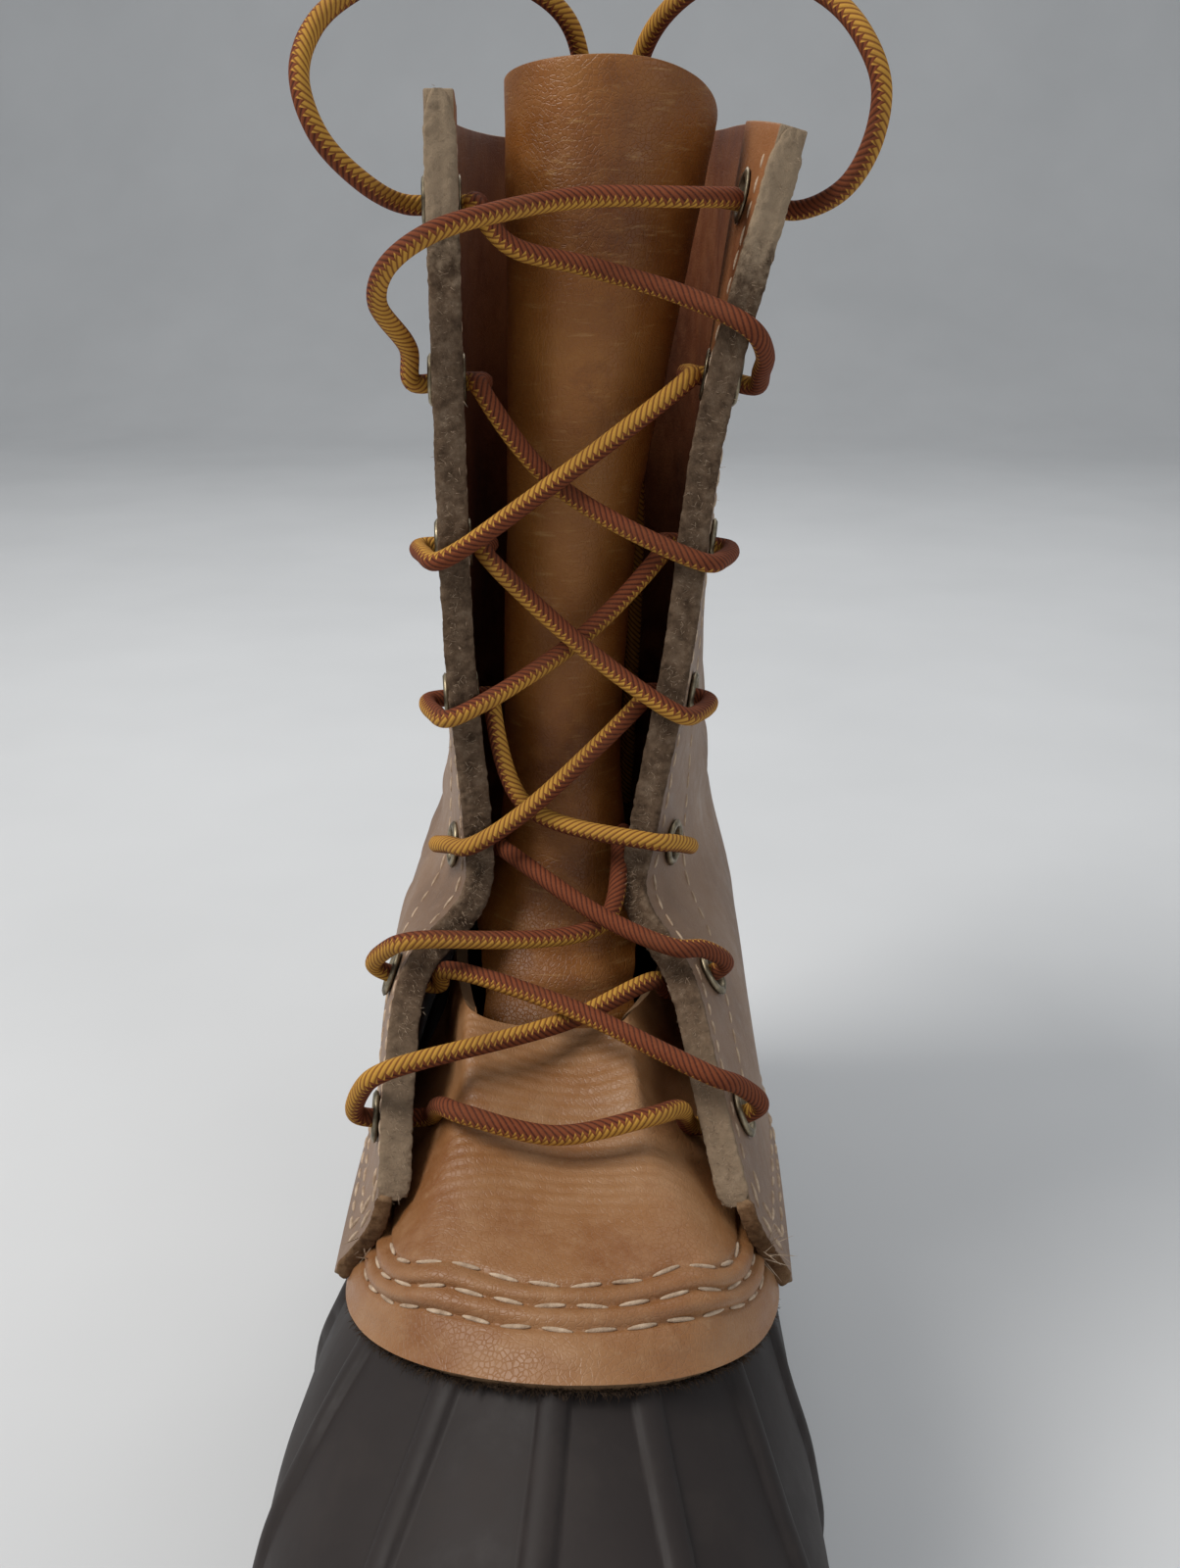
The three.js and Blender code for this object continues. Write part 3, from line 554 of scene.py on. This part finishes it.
def smoothRun(points, fine=14):
    # a centripetal curve through the points, sampled finely
    points = np.array(points, float)
    p = np.vstack([2 * points[0] - points[1], points, 2 * points[-1] - points[-2]])
    gaps = np.linalg.norm(np.diff(p, axis=0), axis=1) ** 0.5
    run = []
    for i in range(1, len(p) - 2):
        g0, g1, g2 = gaps[i - 1], gaps[i], gaps[i + 1]
        out = ((p[i] - p[i - 1]) / g0 - (p[i + 1] - p[i - 1]) / (g0 + g1) + (p[i + 1] - p[i]) / g1) * g1
        into = ((p[i + 1] - p[i]) / g1 - (p[i + 2] - p[i]) / (g1 + g2) + (p[i + 2] - p[i + 1]) / g2) * g1
        w = np.linspace(0, 1, fine, endpoint=False)[:, None]
        run.append((2 * w ** 3 - 3 * w ** 2 + 1) * p[i] + (w ** 3 - 2 * w ** 2 + w) * out
                   + (3 * w ** 2 - 2 * w ** 3) * p[i + 1] + (w ** 3 - w ** 2) * into)
    return np.vstack(run + [p[-2:-1]])


def evenly(run, step):
    lengths = np.concatenate([[0], np.cumsum(np.linalg.norm(np.diff(run, axis=0), axis=1))])
    count = int(lengths[-1] / step) + 1
    at = np.linspace(0, lengths[-1], count)
    return np.column_stack([np.interp(at, lengths, run[:, k]) for k in range(3)]), lengths[-1]


def framesAlong(line):
    # a tangent and a steady side direction at each point
    tangents = np.gradient(line, axis=0)
    tangents /= np.linalg.norm(tangents, axis=1)[:, None]
    side = np.cross(tangents[0], (0, 0, 1.0))
    side /= np.linalg.norm(side)
    sides = []
    for t in tangents:
        side = side - t * np.dot(side, t)
        side = side / np.linalg.norm(side)
        sides.append(side)
    return tangents, np.array(sides)


def turned(line, tangents, sides, route, turns):
    # the side directions, rolled about the line so that each named point's turn is met
    ups = np.cross(tangents, sides)
    spots, angles = [], []
    for number, degrees in sorted(turns.items()):
        spot = int(np.argmin(np.linalg.norm(line - np.array(route[number], float), axis=1)))
        sight = viewer - line[spot]
        below = np.cross(tangents[spot], sight)
        below *= -np.sign(below[2]) / np.linalg.norm(below)
        sight = np.cross(below, tangents[spot])
        sight *= np.sign(np.dot(sight, viewer - line[spot]))
        face = math.cos(math.radians(degrees)) * below + math.sin(math.radians(degrees)) * sight
        angle = math.atan2(np.dot(face, ups[spot]), np.dot(face, sides[spot]))
        if angles:
            angle += 2 * math.pi * round((angles[-1] - angle) / (2 * math.pi))
        spots.append(spot)
        angles.append(angle)
    turn = np.interp(np.arange(len(line)), spots, angles)
    turn = np.convolve(np.pad(turn, 15, mode="edge"), np.ones(31) / 31, "valid")[:, None]
    return np.cos(turn) * sides + np.sin(turn) * ups


def braidedTube(name, route, look, body):
    line, length = evenly(smoothRun(route), look["step"])
    tangents, sides = framesAlong(line)
    sides = turned(line, tangents, sides, route, goldTurns)
    ups = np.cross(tangents, sides)
    last = len(line) - 1
    radius = look["diameter"] / 2

    def skin(u, v):
        ring = np.rint(v * last).astype(int)
        picks = ring * look["step"] / look["pick"]
        ripple = np.sin(2 * math.pi * (picks + 3 * u)) * np.sin(2 * math.pi * (picks - 3 * u))
        swell = 1 + look["ripple"] * ripple - 0.35 * ((ring == 0) | (ring == last))
        angle = 2 * math.pi * u[:, None]
        spoke = np.cos(angle) * sides[ring] + np.sin(angle) * ups[ring]
        return line[ring] + spoke * (radius * swell)[:, None]

    bm = spread(look["sides"], last, skin, closeRound=True)
    layer = bm.loops.layers.uv.active
    for face in bm.faces:
        for loop in face.loops:
            loop[layer].uv.y *= length * mm
    bmesh.ops.holes_fill(bm, edges=[e for e in bm.edges if e.is_boundary])
    return show(bm, name, ["lace"], body, ["lace"]), placed(line), length * mm


lacePiece, lacePath, laceLength = braidedTube("lace_braid", laceRoute, lace, "boot")
print("lace laid", round(laceLength, 3))


# ---- rubber bottom and outsole ----
def spring(y):
    return boot["spring"] * np.maximum(0, (boot["springStart"] - y) / boot["springRun"]) ** 2


def onSole(place, share, height, inset=0.0):
    p = offSurface(place, np.full_like(place, 0.6), -inset)
    p[:, :2] *= np.reshape(share, (-1, 1))
    p[:, 2] = height + spring(p[:, 1])
    return p


rubber = {"ribs": (-1.06, -0.75, -0.38, -0.05, 0.24, 0.6, 0.95), "ribWidth": 2.7, "ribHeight": 1.25,
          "dip": 0.25, "band": 1.1}


def ribRise(place, outline):
    speed = np.linalg.norm(onOutline(place + 0.01, outline) - onOutline(place - 0.01, outline), axis=1) / 0.02
    rise = np.zeros(len(place))
    for rib in rubber["ribs"]:
        lean = (outline - 4) * 0.012 * np.sign(rib)
        d = np.abs(place - rib + lean) * speed / rubber["ribWidth"]
        crest = rubber["ribHeight"] * np.sqrt(np.clip(1 - d ** 2, 0, 1))
        rise = np.maximum(rise, crest - rubber["dip"] * (np.abs(d - 1.25) < 0.25))
    return rise * ease(outline, 1.15, 1.6)


def rubberSkin(u, v):
    place = np.interp(u, [0, 0.15, 0.85, 1], [-2, -1.15, 1.15, 2])
    outline = np.interp(v, [0.12, 1], [0.6, 5])
    wall = offSurface(place, outline, -rubberInset(outline))
    normals = normalAt(place, outline)
    band = rubber["band"] * (ease(outline, 0.66, 0.7) - ease(outline, 0.98, 1.04))
    wall = wall + normals * (ribRise(place, outline) + band)[:, None]
    base = onSole(place, np.clip(v / 0.11, 0, 1), boot["outsole"] + boot["plateGap"], rubberInset(0))
    return np.where((v < 0.115)[:, None], base, wall)


bottom = show(spread(470, 78, rubberSkin, closeRound=True), "rubber_bottom_ribbed", ["rubber"], "boot",
              ["rubber_bottom"])
thicken(bottom, boot["rubberWall"], bevel=0)

tread = {"pitch": 9, "depth": 2.6, "wave": 5, "edge": 2}


def soleSkin(u, v):
    place = -2 + 4 * u
    share = np.interp(v, [0, 0.72, 0.76, 0.88, 0.96, 1], [0, 0.93, 1, 1, 0.9, 0])
    height = np.interp(v, [0, 0.74, 0.8, 0.88, 1], [0, 0, tread["edge"], boot["outsole"], boot["outsole"]])
    inset = 5 - 2 * ease(height, tread["edge"], boot["outsole"])
    p = onSole(place, share, height, inset)
    bars = (p[:, 1] + tread["wave"] * np.abs(((p[:, 0] / 22) % 2) - 1) * 2) / tread["pitch"] % 1
    groove = ease(bars, 0.52, 0.6) * (1 - ease(bars, 0.92, 1.0)) * (v < 0.7) * (1 - ease(share, 0.86, 0.9))
    p[:, 2] += tread["depth"] * groove
    return p


sole = spread(200, 120, soleSkin, closeRound=True)
bmesh.ops.reverse_faces(sole, faces=sole.faces)
bmesh.ops.recalc_face_normals(sole, faces=sole.faces)
show(sole, "outsole_tread", ["rubber"], "boot", ["outsole"])
print("rubber bottom and outsole made")


# ---- stitching ----
stitch = {"length": 5.2, "pause": 1.3, "radius": 0.42, "sink": 0.1}
fineStitch = {**stitch, "length": 3.2, "pause": 0.9, "radius": 0.33}


def stitchRow(name, place, outline, offset, look=stitch):
    # a row over the upper: place, outline and offset are arrays along it
    points = offSurface(place, outline, offset)
    return stitchLine(name, points, normalAt(place, outline), look)


def stitchLine(name, points, normals, look=stitch):
    # a row of stitches along points on a surface with these normals
    step = 0.5
    line, _ = evenly(points, step)
    shares, given = np.linspace(0, 1, len(line)), np.linspace(0, 1, len(points))
    ups = np.column_stack([np.interp(shares, given, normals[:, k]) for k in range(3)])
    pitch = look["length"] + look["pause"]
    bm = bmesh.new()
    total = (len(line) - 1) * step
    for k in range(int(total / pitch)):
        start = (k + 0.5) * pitch
        i = min(int(start / step), len(line) - 2)
        j = min(int((start + look["length"]) / step), len(line) - 1)
        a, b = Vector(placed(line[i:i + 1])[0]), Vector(placed(line[j:j + 1])[0])
        up = Vector(ups[(i + j) // 2]).normalized()
        along = (b - a).normalized()
        across = up.cross(along).normalized()
        up = along.cross(across)
        turn = Matrix((along, across, up)).transposed().to_4x4()
        wobble = Matrix.Rotation(0.12 * math.sin(k * 2.4), 4, "Z")
        spot = Matrix.Translation((a + b) / 2 - up * look["sink"] * mm)
        lie = Matrix.Rotation(math.pi / 2, 4, "Y")
        size = Matrix.Diagonal((look["radius"] * mm, look["radius"] * mm, (b - a).length / 2, 1))
        bmesh.ops.create_uvsphere(bm, u_segments=8, v_segments=6, radius=1,
                                  matrix=spot @ turn @ wobble @ lie @ size)
    return show(bm, name, ["thread"], "boot")


# ---- vamp ----
seam = {"rows": (7.4, 11.7, 16.0), "groove": 0.6, "grooveWidth": 0.55, "puff": 0.55}
vampReach = 1.22
dome = {"brow": 0.18, "corner": 0.7, "side": 0.94, "passes": 90}


def rowSpacing(place):
    # millimetres of surface from the leather's lower edge to the next outline
    low, high = np.full_like(place, 4.0), np.full_like(place, 5.0)
    return np.linalg.norm(onOutline(place, high) - onOutline(place, low), axis=1)


def fromLip(place, outline):
    return (outline - 4) * rowSpacing(place)


def insetCurves(place, outline, inset):
    # an inner copy of the outlines, made by moving each curve's handles inwards instead of its points
    t = outline / topOutline
    front, result = throughPoints(fronts, t), np.zeros((len(place), 3))
    frontIn = -normalAt(np.zeros(len(place)), outline) * inset[:, None]
    for side, rows in tracks.items():
        own = place < 0 if side < 0 else place >= 0
        sideIn = -normalAt(np.full(len(place), float(side)), outline) * inset[:, None] * dome["side"]
        edge, cheek = throughPoints(rows["side"], t) + sideIn, throughPoints(rows["cheek"], t) + sideIn
        brow = edge + (edge - cheek) * dome["brow"]
        corner = front + (throughPoints(rows["corner"], t) - front) * dome["corner"] + frontIn
        ahead = bezier(front + frontIn, corner, brow, edge, np.minimum(np.abs(place), 1))
        heel = throughPoints(rows["heel"], t) + sideIn
        behind = bezier(edge, cheek, heel, throughPoints(backs, t), np.maximum(np.abs(place) - 1, 0))
        shape = np.where((np.abs(place) > 1)[:, None], behind, ahead)
        result[own] = shape[own]
    return result


def vampSkin(u, v):
    place = vampReach * (2 * u - 1)
    outline = 4 + 3 * v
    inset = vampInset(outline)
    n = normalAt(place, outline)
    loose = ease(outline, 4.9, 5.5)[:, None]
    laid = onOutline(place, outline) - n * inset[:, None]
    p = laid * (1 - loose) + insetCurves(place, outline, inset) * loose
    up = fromLip(place, outline)
    centred = 1 - ease(np.abs(place), 0.7, 0.95)
    first, second = seam["rows"][:2]
    dent = sum(np.exp(-((up - row) / seam["grooveWidth"]) ** 2) for row in seam["rows"])
    bands = np.sin(np.clip((up - first) / (second - first), 0, 2) * math.pi) ** 2
    lip = 0.35 * np.exp(-((up - 4) / 2.2) ** 2)
    waves = (0.45 * fractal(p, 26, 2, 3.0) + 0.1 * fractal(p, 5, 2, 5.0)) * (0.4 + 0.6 * centred)
    rise = (seam["puff"] * bands + lip - seam["groove"] * dent + waves) * (1 - loose[:, 0])
    edge = 1 - ease(np.abs(place), 1.1, 1.2)
    return p + n * (rise * (0.25 + 0.75 * edge))[:, None]


def settleDome(bm):
    # eases the vamp's loose part into one smooth dome, then presses its fine folds in
    layer = bm.loops.layers.uv.active
    spots = {loop.vert: loop[layer].uv.copy() for face in bm.faces for loop in face.loops}
    soft = [vert for vert, uv in spots.items() if 0.34 < uv.y < 0.985 and abs(uv.x - 0.5) < 0.42]
    for _ in range(dome["passes"]):
        bmesh.ops.smooth_vert(bm, verts=soft, factor=0.5, use_axis_x=True, use_axis_y=True,
                              use_axis_z=True)
    bm.normal_update()
    uv = np.array([(*spots[vert],) for vert in soft])
    p = (np.array([(*vert.co,) for vert in soft]) - middle) / mm
    share = ease(uv[:, 1], 0.36, 0.5) * (1 - ease(np.abs(uv[:, 0] - 0.5), 0.28, 0.4))
    folds = 0.11 * np.sin(p[:, 1] / 0.34 + 2.5 * fractal(p, 14, 2, 8.0)) + 0.3 * fractal(p, 12, 3, 5.0)
    for vert, rise in zip(soft, folds * share):
        vert.co += vert.normal * rise * mm
    return bm


vamp = show(settleDome(spread(220, 150, vampSkin)), "vamp_leather", ["vamp", "brown"], "boot", ["vamp"])
thicken(vamp, boot["leather"], rim=1)
for number, distance in enumerate(seam["rows"]):
    place = np.linspace(-0.99, 0.99, 400)
    level = 4 + distance / rowSpacing(place)
    row = vampSkin((place / vampReach + 1) / 2, (level - 4) / 3)
    stitchLine(f"vamp_stitch_{number + 1}", row + normalAt(place, level) * 0.35, normalAt(place, level))


def fray(name, points, out, down, look, stuff):
    # loose fibres standing off a cut edge: thin three-sided cones with seeded leans
    dice = np.random.default_rng(look["seed"])
    bm = bmesh.new()
    for pick in dice.integers(0, len(points), look["count"]):
        lean = out[pick] * dice.uniform(*look["out"]) + down[pick] * dice.uniform(*look["down"])
        lean = Vector(lean + dice.normal(0, 0.35, 3)).normalized()
        length = dice.uniform(*look["length"]) * mm
        root = Vector(placed(points[pick:pick + 1] + dice.normal(0, look["scatter"], 3))[0])
        turn = Vector((0, 0, 1)).rotation_difference(lean).to_matrix().to_4x4()
        spot = Matrix.Translation(root + lean * length / 2)
        bmesh.ops.create_cone(bm, cap_ends=True, segments=3, radius1=look["radius"] * mm, radius2=0.02 * mm,
                              depth=length, matrix=spot @ turn)
    return show(bm, name, [stuff], "boot")


place = np.linspace(-1.02, 1.02, 900)
lipLevel = np.full(900, 4.0)
lipLine = offSurface(place, lipLevel, np.full(900, -boot["gap"] - boot["leather"] * 0.8))
lipOut = normalAt(place, lipLevel)
lipDown = offSurface(place, lipLevel, np.zeros(900)) - offSurface(place, lipLevel + 0.05, np.zeros(900))
lipDown /= np.linalg.norm(lipDown, axis=1)[:, None]
fray("vamp_lip_fibres", lipLine, lipOut, lipDown,
     {"seed": 5, "count": 1500, "out": (0.1, 0.9), "down": (0.4, 1.0), "length": (0.8, 2.2), "radius": 0.07,
      "scatter": 0.2}, "fibre")
print("vamp made")


# ---- quarters, facings and backstay ----
sides = {-1: "lateral", 1: "medial"}
backHalf = 0.0035
holeRadius = 3.75


def upperWaves(p, place, outline):
    broad = 0.6 * fractal(p, 40, 2, 11.0)
    ankle = ease(outline, 6.2, 7.6) * (1 - ease(outline, 8.8, 9.8)) * ease(np.abs(place), 1.1, 1.4)
    patches = np.clip(fractal(p, 26, 2, 7.0) + 0.3, 0, 1)
    folds = 1.1 * np.sin(p[:, 2] / 2.6 + 2.2 * fractal(p, 22, 2, 2.0)) * ankle * patches
    return broad * ease(np.abs(place), 1.05, 1.5) + folds


def pointAlong(axis):
    return Vector((0, 0, 1)).rotation_difference(Vector(axis)).to_matrix()


def cutHoles(piece, seats, radius):
    # each hole is drilled by a round cutter along its eyelet's axis
    for centre, axis in seats:
        bm = bmesh.new()
        bmesh.ops.create_cone(bm, cap_ends=True, segments=24, radius1=radius * mm, radius2=radius * mm,
                              depth=0.03)
        bmesh.ops.rotate(bm, verts=bm.verts, matrix=pointAlong(axis))
        bmesh.ops.translate(bm, verts=bm.verts, vec=Vector(centre))
        mesh = bpy.data.meshes.new("drill")
        bm.to_mesh(mesh)
        bm.free()
        drill = bpy.data.objects.new("drill", mesh)
        bpy.context.collection.objects.link(drill)
        cut = piece.modifiers.new("hole", "BOOLEAN")
        cut.operation = "DIFFERENCE"
        cut.solver = "FAST"
        cut.object = drill
        bpy.context.view_layer.update()
        settled = bpy.data.meshes.new_from_object(piece.evaluated_get(bpy.context.evaluated_depsgraph_get()))
        piece.modifiers.clear()
        piece.data = settled
        bpy.data.objects.remove(drill)


def eyeletRing(name, centre, axis, node):
    r, rim = 3.1, 4.75
    outer, inner = boot["leather"] + 0.2, -boot["leather"] - boot["plyGap"] - 0.1
    profile = [(r, inner - 0.5), (rim - 0.7, inner - 0.6), (rim, inner - 0.3), (rim - 0.4, inner),
               (r + 0.5, inner), (r + 0.5, outer), (rim - 0.4, outer), (rim, outer + 0.5),
               (rim - 0.7, outer + 1.0), (r + 0.4, outer + 1.0), (r, outer + 0.5)]
    bm = bmesh.new()
    verts = [bm.verts.new((x * mm, 0, z * mm)) for x, z in profile]
    edges = [bm.edges.new((verts[i], verts[(i + 1) % len(verts)])) for i in range(len(verts))]
    bmesh.ops.spin(bm, geom=verts + edges, cent=(0, 0, 0), axis=(0, 0, 1), angle=2 * math.pi, steps=32,
                   use_merge=True)
    bmesh.ops.remove_doubles(bm, verts=bm.verts, dist=1e-6)
    bmesh.ops.recalc_face_normals(bm, faces=bm.faces)
    bmesh.ops.rotate(bm, verts=bm.verts, matrix=pointAlong(axis))
    bmesh.ops.translate(bm, verts=bm.verts, vec=Vector(centre))
    return show(bm, name, ["eyelet"], "boot", [node])


rawEdge = {"out": 2.55, "in": 3.0, "proud": 0.9, "back": 0.9, "pebble": 0.3, "groove": 0.4}


def offEdge(edge, outline):
    # the direction that runs off the leather at a facing's cut edge
    ahead = onOutline(edge * 0.998, outline) - onOutline(edge * 1.002, outline)
    return ahead / np.linalg.norm(ahead, axis=1)[:, None]


def rawEdgeStrip(name, side, low, high, out, inward, stuff):
    # a rough rounded band over a facing's cut edge, from one outline to another
    def skin(u, v):
        angle = 2 * math.pi * u
        outline = low + (high - low) * v
        edge = np.full(len(u), float(side))
        n = normalAt(edge, outline)
        ahead = offEdge(edge, outline)
        cosine, sine = np.cos(angle), np.sin(angle)
        across = np.sign(cosine) * np.abs(cosine) ** 0.6
        forward = np.sign(sine) * np.abs(sine) ** 0.6
        wide = np.where(across > 0, out, inward)
        deep = np.where(forward > 0, rawEdge["proud"], rawEdge["back"])
        ends = np.clip(np.minimum(v, 1 - v) * (high - low) * 9, 0, 1) ** 0.5
        section = n * (across * wide)[:, None] + ahead * (forward * deep)[:, None]
        p = onOutline(edge, outline) + section * (0.25 + 0.75 * ends)[:, None]
        rough = fractal(p, 1.1, 3, 31.0) * rawEdge["pebble"] + fractal(p, 6, 2, 33.0) * 0.22
        crease = rawEdge["groove"] * np.exp(-((across * wide + 0.25) / 0.35) ** 2) * (forward > 0.5)
        return p + ahead * (rough * (forward > 0.1) - crease)[:, None] + n * (rough * across * 0.5)[:, None]

    show(spread(36, int((high - low) * 90), skin, closeRound=True), name, [stuff], "boot")


for side, name in sides.items():
    rawEdgeStrip(f"facing_raw_edge_{name}", side, 5.12, 12, rawEdge["out"], rawEdge["in"], "taupe")
    rawEdgeStrip(f"quarter_raw_edge_{name}", side, 4.0, 5.2, rawEdge["out"], 0.3, "brown")
    seats = [eyeletSeat(side, index) for index in range(boot["eyelets"])]
    level = np.linspace(5.2, 11.98, 900)
    edgeSide = np.full(900, float(side))
    ahead = offEdge(edgeSide, level)
    fray(f"facing_fuzz_{name}", onOutline(edgeSide, level) + ahead * 0.6, ahead, normalAt(edgeSide, level),
         {"seed": 11 + side, "count": 1300, "out": (0.5, 1.0), "down": (-1.0, 1.0), "length": (0.5, 1.5),
          "radius": 0.06, "scatter": 1.0}, "paleFibre")
    tuftPlace, tuftLevel = np.full(1, float(side)), np.full(1, 4.55)
    fray(f"wing_tuft_{name}", onOutline(tuftPlace, tuftLevel), normalAt(tuftPlace, tuftLevel),
         np.array([[0, 0, -1.0]]),
         {"seed": 21 + side, "count": 26 if side > 0 else 8, "out": (0.4, 1.2), "down": (-0.6, 1.0),
          "length": (2.5, 7), "radius": 0.16, "scatter": 0.9}, "thread")

    def quarterSkin(u, v):
        along = u if side > 0 else 1 - u
        place = side * (1 + (1 - backHalf) * along ** 1.25)
        outline = 4 + 8 * v
        p = offSurface(place, outline, boot["leather"] - quarterInset(place, outline))
        return p + normalAt(place, outline) * upperWaves(p, place, outline)[:, None]

    def staySkin(u, v):
        along = u if side > 0 else 1 - u
        outline = 5.15 + 6.85 * v
        place = placeFromEdge(side, outline, boot["stay"] * along)
        return offSurface(place, outline, np.full(len(u), -boot["plyGap"]))

    quarter = show(spread(110, 200, quarterSkin), f"quarter_{name}_leather", ["quarter", "taupe", "lining"],
                   "boot", [f"quarter_{name}"])
    thicken(quarter, boot["leather"], rim=1, inner=2)
    stay = show(spread(24, 180, staySkin), f"facing_{name}_leather", ["facing", "taupe"], "boot",
                [f"facing_{name}"])
    thicken(stay, boot["leather"], rim=1)
    bpy.context.view_layer.update()
    cutHoles(quarter, seats, holeRadius)
    cutHoles(stay, seats, holeRadius)
    for index, (centre, axis) in enumerate(seats):
        eyeletRing(f"eyelet_ring_{name}_{index + 1}", centre, axis, f"eyelet_{name}_{index + 1}")
    edge = np.linspace(5.3, 11.9, 500)
    for number, inset in enumerate((4.2, 20.5)):
        stitchRow(f"facing_stitch_{name}_{number + 1}", placeFromEdge(side, edge, inset), edge,
                  np.full(500, boot["leather"] + 0.1), fineStitch)
    stitchRow(f"facing_inner_stitch_{name}", placeFromEdge(side, edge, 4.2), edge,
              np.full(500, -boot["leather"] - boot["plyGap"] - 0.05), {**fineStitch, "sink": -0.1})
    low = np.linspace(4.15, 5.2, 120)
    for number, inset in enumerate((4.5, 9.5)):
        stitchRow(f"wing_stitch_{name}_{number + 1}", placeFromEdge(side, low, inset), low,
                  np.full(120, boot["leather"] + 0.1))
    hem = np.linspace(1.03, 1.9, 300)
    for number, rise in enumerate((4.3, 4.6)):
        place, outline = side * hem, np.full(300, rise)
        stitchRow(f"hem_stitch_{name}_{number + 1}", place, outline,
                  boot["leather"] - quarterInset(place, outline) + 0.1)


def strapSkin(u, v):
    outline = 4.1 + 7.84 * v
    t = outline / topOutline
    speed = 3 * np.linalg.norm(throughPoints(tracks[1]["heel"], t) - throughPoints(backs, t), axis=1)
    turn = (2 * u - 1) * boot["backstay"] / 2 / speed
    place = np.where(turn < 0, 2 + turn, -2 + turn)
    return offSurface(place, outline, 2 * boot["leather"] + boot["gap"] - quarterInset(place, outline))


strap = show(spread(24, 160, strapSkin), "backstay_leather", ["quarter", "taupe"], "boot", ["backstay"])
thicken(strap, boot["leather"], rim=1)
print("upper made")


# ---- tongue ----
tongueRows = [  # front x, y, z, radius of the roll, half the angle it wraps
    (-1, -5, 101, 24, 38), (-2, 6, 114, 20, 50), (-1.5, 15, 128, 14, 104), (-1.5, 21, 145, 12, 138),
    (-1, 23, 170, 12, 140), (0.5, 23.5, 200, 12.8, 132), (3.5, 24, 230, 15.5, 118), (7.4, 25, 276, 19.2, 104),
]


def tongueSkin(u, v):
    row = throughPoints(tongueRows, v)
    angle = np.radians(row[:, 4]) * (2 * u - 1)
    radius = row[:, 3]
    sideways, deeper = radius * np.sin(angle), radius * (1 - np.cos(angle))
    p = np.column_stack([row[:, 0] + sideways, row[:, 1] + deeper, row[:, 2]])
    n = np.column_stack([np.sin(angle), -np.cos(angle), np.zeros(len(u))])
    waves = 0.5 * fractal(p, 34, 2, 21.0) + 0.15 * fractal(p, 9, 2, 23.0)
    creases = 0.35 * np.sin(p[:, 2] / 1.1 + 2 * fractal(p, 16, 2, 25.0)) * (1 - ease(p[:, 2], 112, 134))
    p[:, 2] -= np.where(u < 0.5, 4, 12) * (2 * u - 1) ** 2 * ease(v, 0.75, 1)
    return p + n * (waves + creases)[:, None]


tongue = show(spread(90, 200, tongueSkin), "tongue_leather", ["tongue", "brown"], "tongue", ["tongue"])
thicken(tongue, boot["tongue"], rim=1)
print("tongue made")


# ---- CAD nodes that stay as they are, with their own finishes ----
for node, stuff in {"shank": "steel", "insulating_midsole": "foam", "footbed": "felt",
                    "aglet_lateral": "tip", "aglet_medial": "tip"}.items():
    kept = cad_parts[node]
    kept.data.materials.clear()
    kept.data.materials.append(materials[stuff])


# ---- floor and light ----
studio = {"world": (0.84, 0.87, 0.9), "worldStrength": 0.42, "wallDistance": 1.5, "wallHeight": 2.5,
          "bend": 0.6}


def backdrop(u, v):
    # a floor that bends up into a wall behind the boot
    run = -2.5 + v * (2.5 + studio["wallDistance"] + studio["wallHeight"])
    bendRun = studio["bend"] * math.pi / 2
    turn = np.clip((run - studio["wallDistance"]) / bendRun, 0, 1) * math.pi / 2
    flat = np.minimum(run, studio["wallDistance"])
    up = np.maximum(run - studio["wallDistance"] - bendRun, 0)
    y = flat + studio["bend"] * np.sin(turn)
    z = studio["bend"] * (1 - np.cos(turn)) + up
    return (np.column_stack([(u - 0.5) * 6, y, z]) - middle) / mm


bm = spread(4, 120, backdrop)
floorMesh = bpy.data.meshes.new("floor")
bm.to_mesh(floorMesh)
bm.free()
floorMesh.shade_smooth()
floorShade = Shade("paleFloor", 0.7, Specular_IOR_Level=0.25)
grain = floorShade.cloud(floorShade.objectPoint(), 6, 3)
floorShade.feed("Base Color", floorShade.ramp(grain, (0.3, (0.6, 0.61, 0.62)), (0.7, (0.64, 0.65, 0.66))))
floorMesh.materials.append(floorShade.material)
floor = bpy.data.objects.new("floor", floorMesh)
bpy.context.collection.objects.link(floor)

world = bpy.data.worlds.new("studio")
world.use_nodes = True
world.node_tree.nodes["Background"].inputs["Color"].default_value = (*studio["world"], 1)
world.node_tree.nodes["Background"].inputs["Strength"].default_value = studio["worldStrength"]
bpy.context.scene.world = world

lamps = [  # name, place, aim, size, watts, colour
    ("key", (-0.75, -0.25, 1.15), (0, 0, 0.12), 0.6, 13, (1.0, 0.97, 0.93)),
    ("fill", (0.9, -0.7, 0.6), (0, 0, 0.12), 0.9, 2.5, (0.94, 0.97, 1.0)),
    ("back", (0.1, 0.9, 1.1), (0, 0, 0.15), 0.8, 5, (1.0, 1.0, 1.0)),
]
for name, spot, aim, size, watts, colour in lamps:
    lamp = bpy.data.lights.new(name, "AREA")
    lamp.size, lamp.energy, lamp.color = size, watts, colour
    holder = bpy.data.objects.new(name, lamp)
    holder.location = spot
    holder.rotation_euler = (Vector(aim) - Vector(spot)).to_track_quat("-Z", "Y").to_euler()
    bpy.context.collection.objects.link(holder)
bpy.context.scene.view_settings.view_transform = "Standard"
print("stage set")
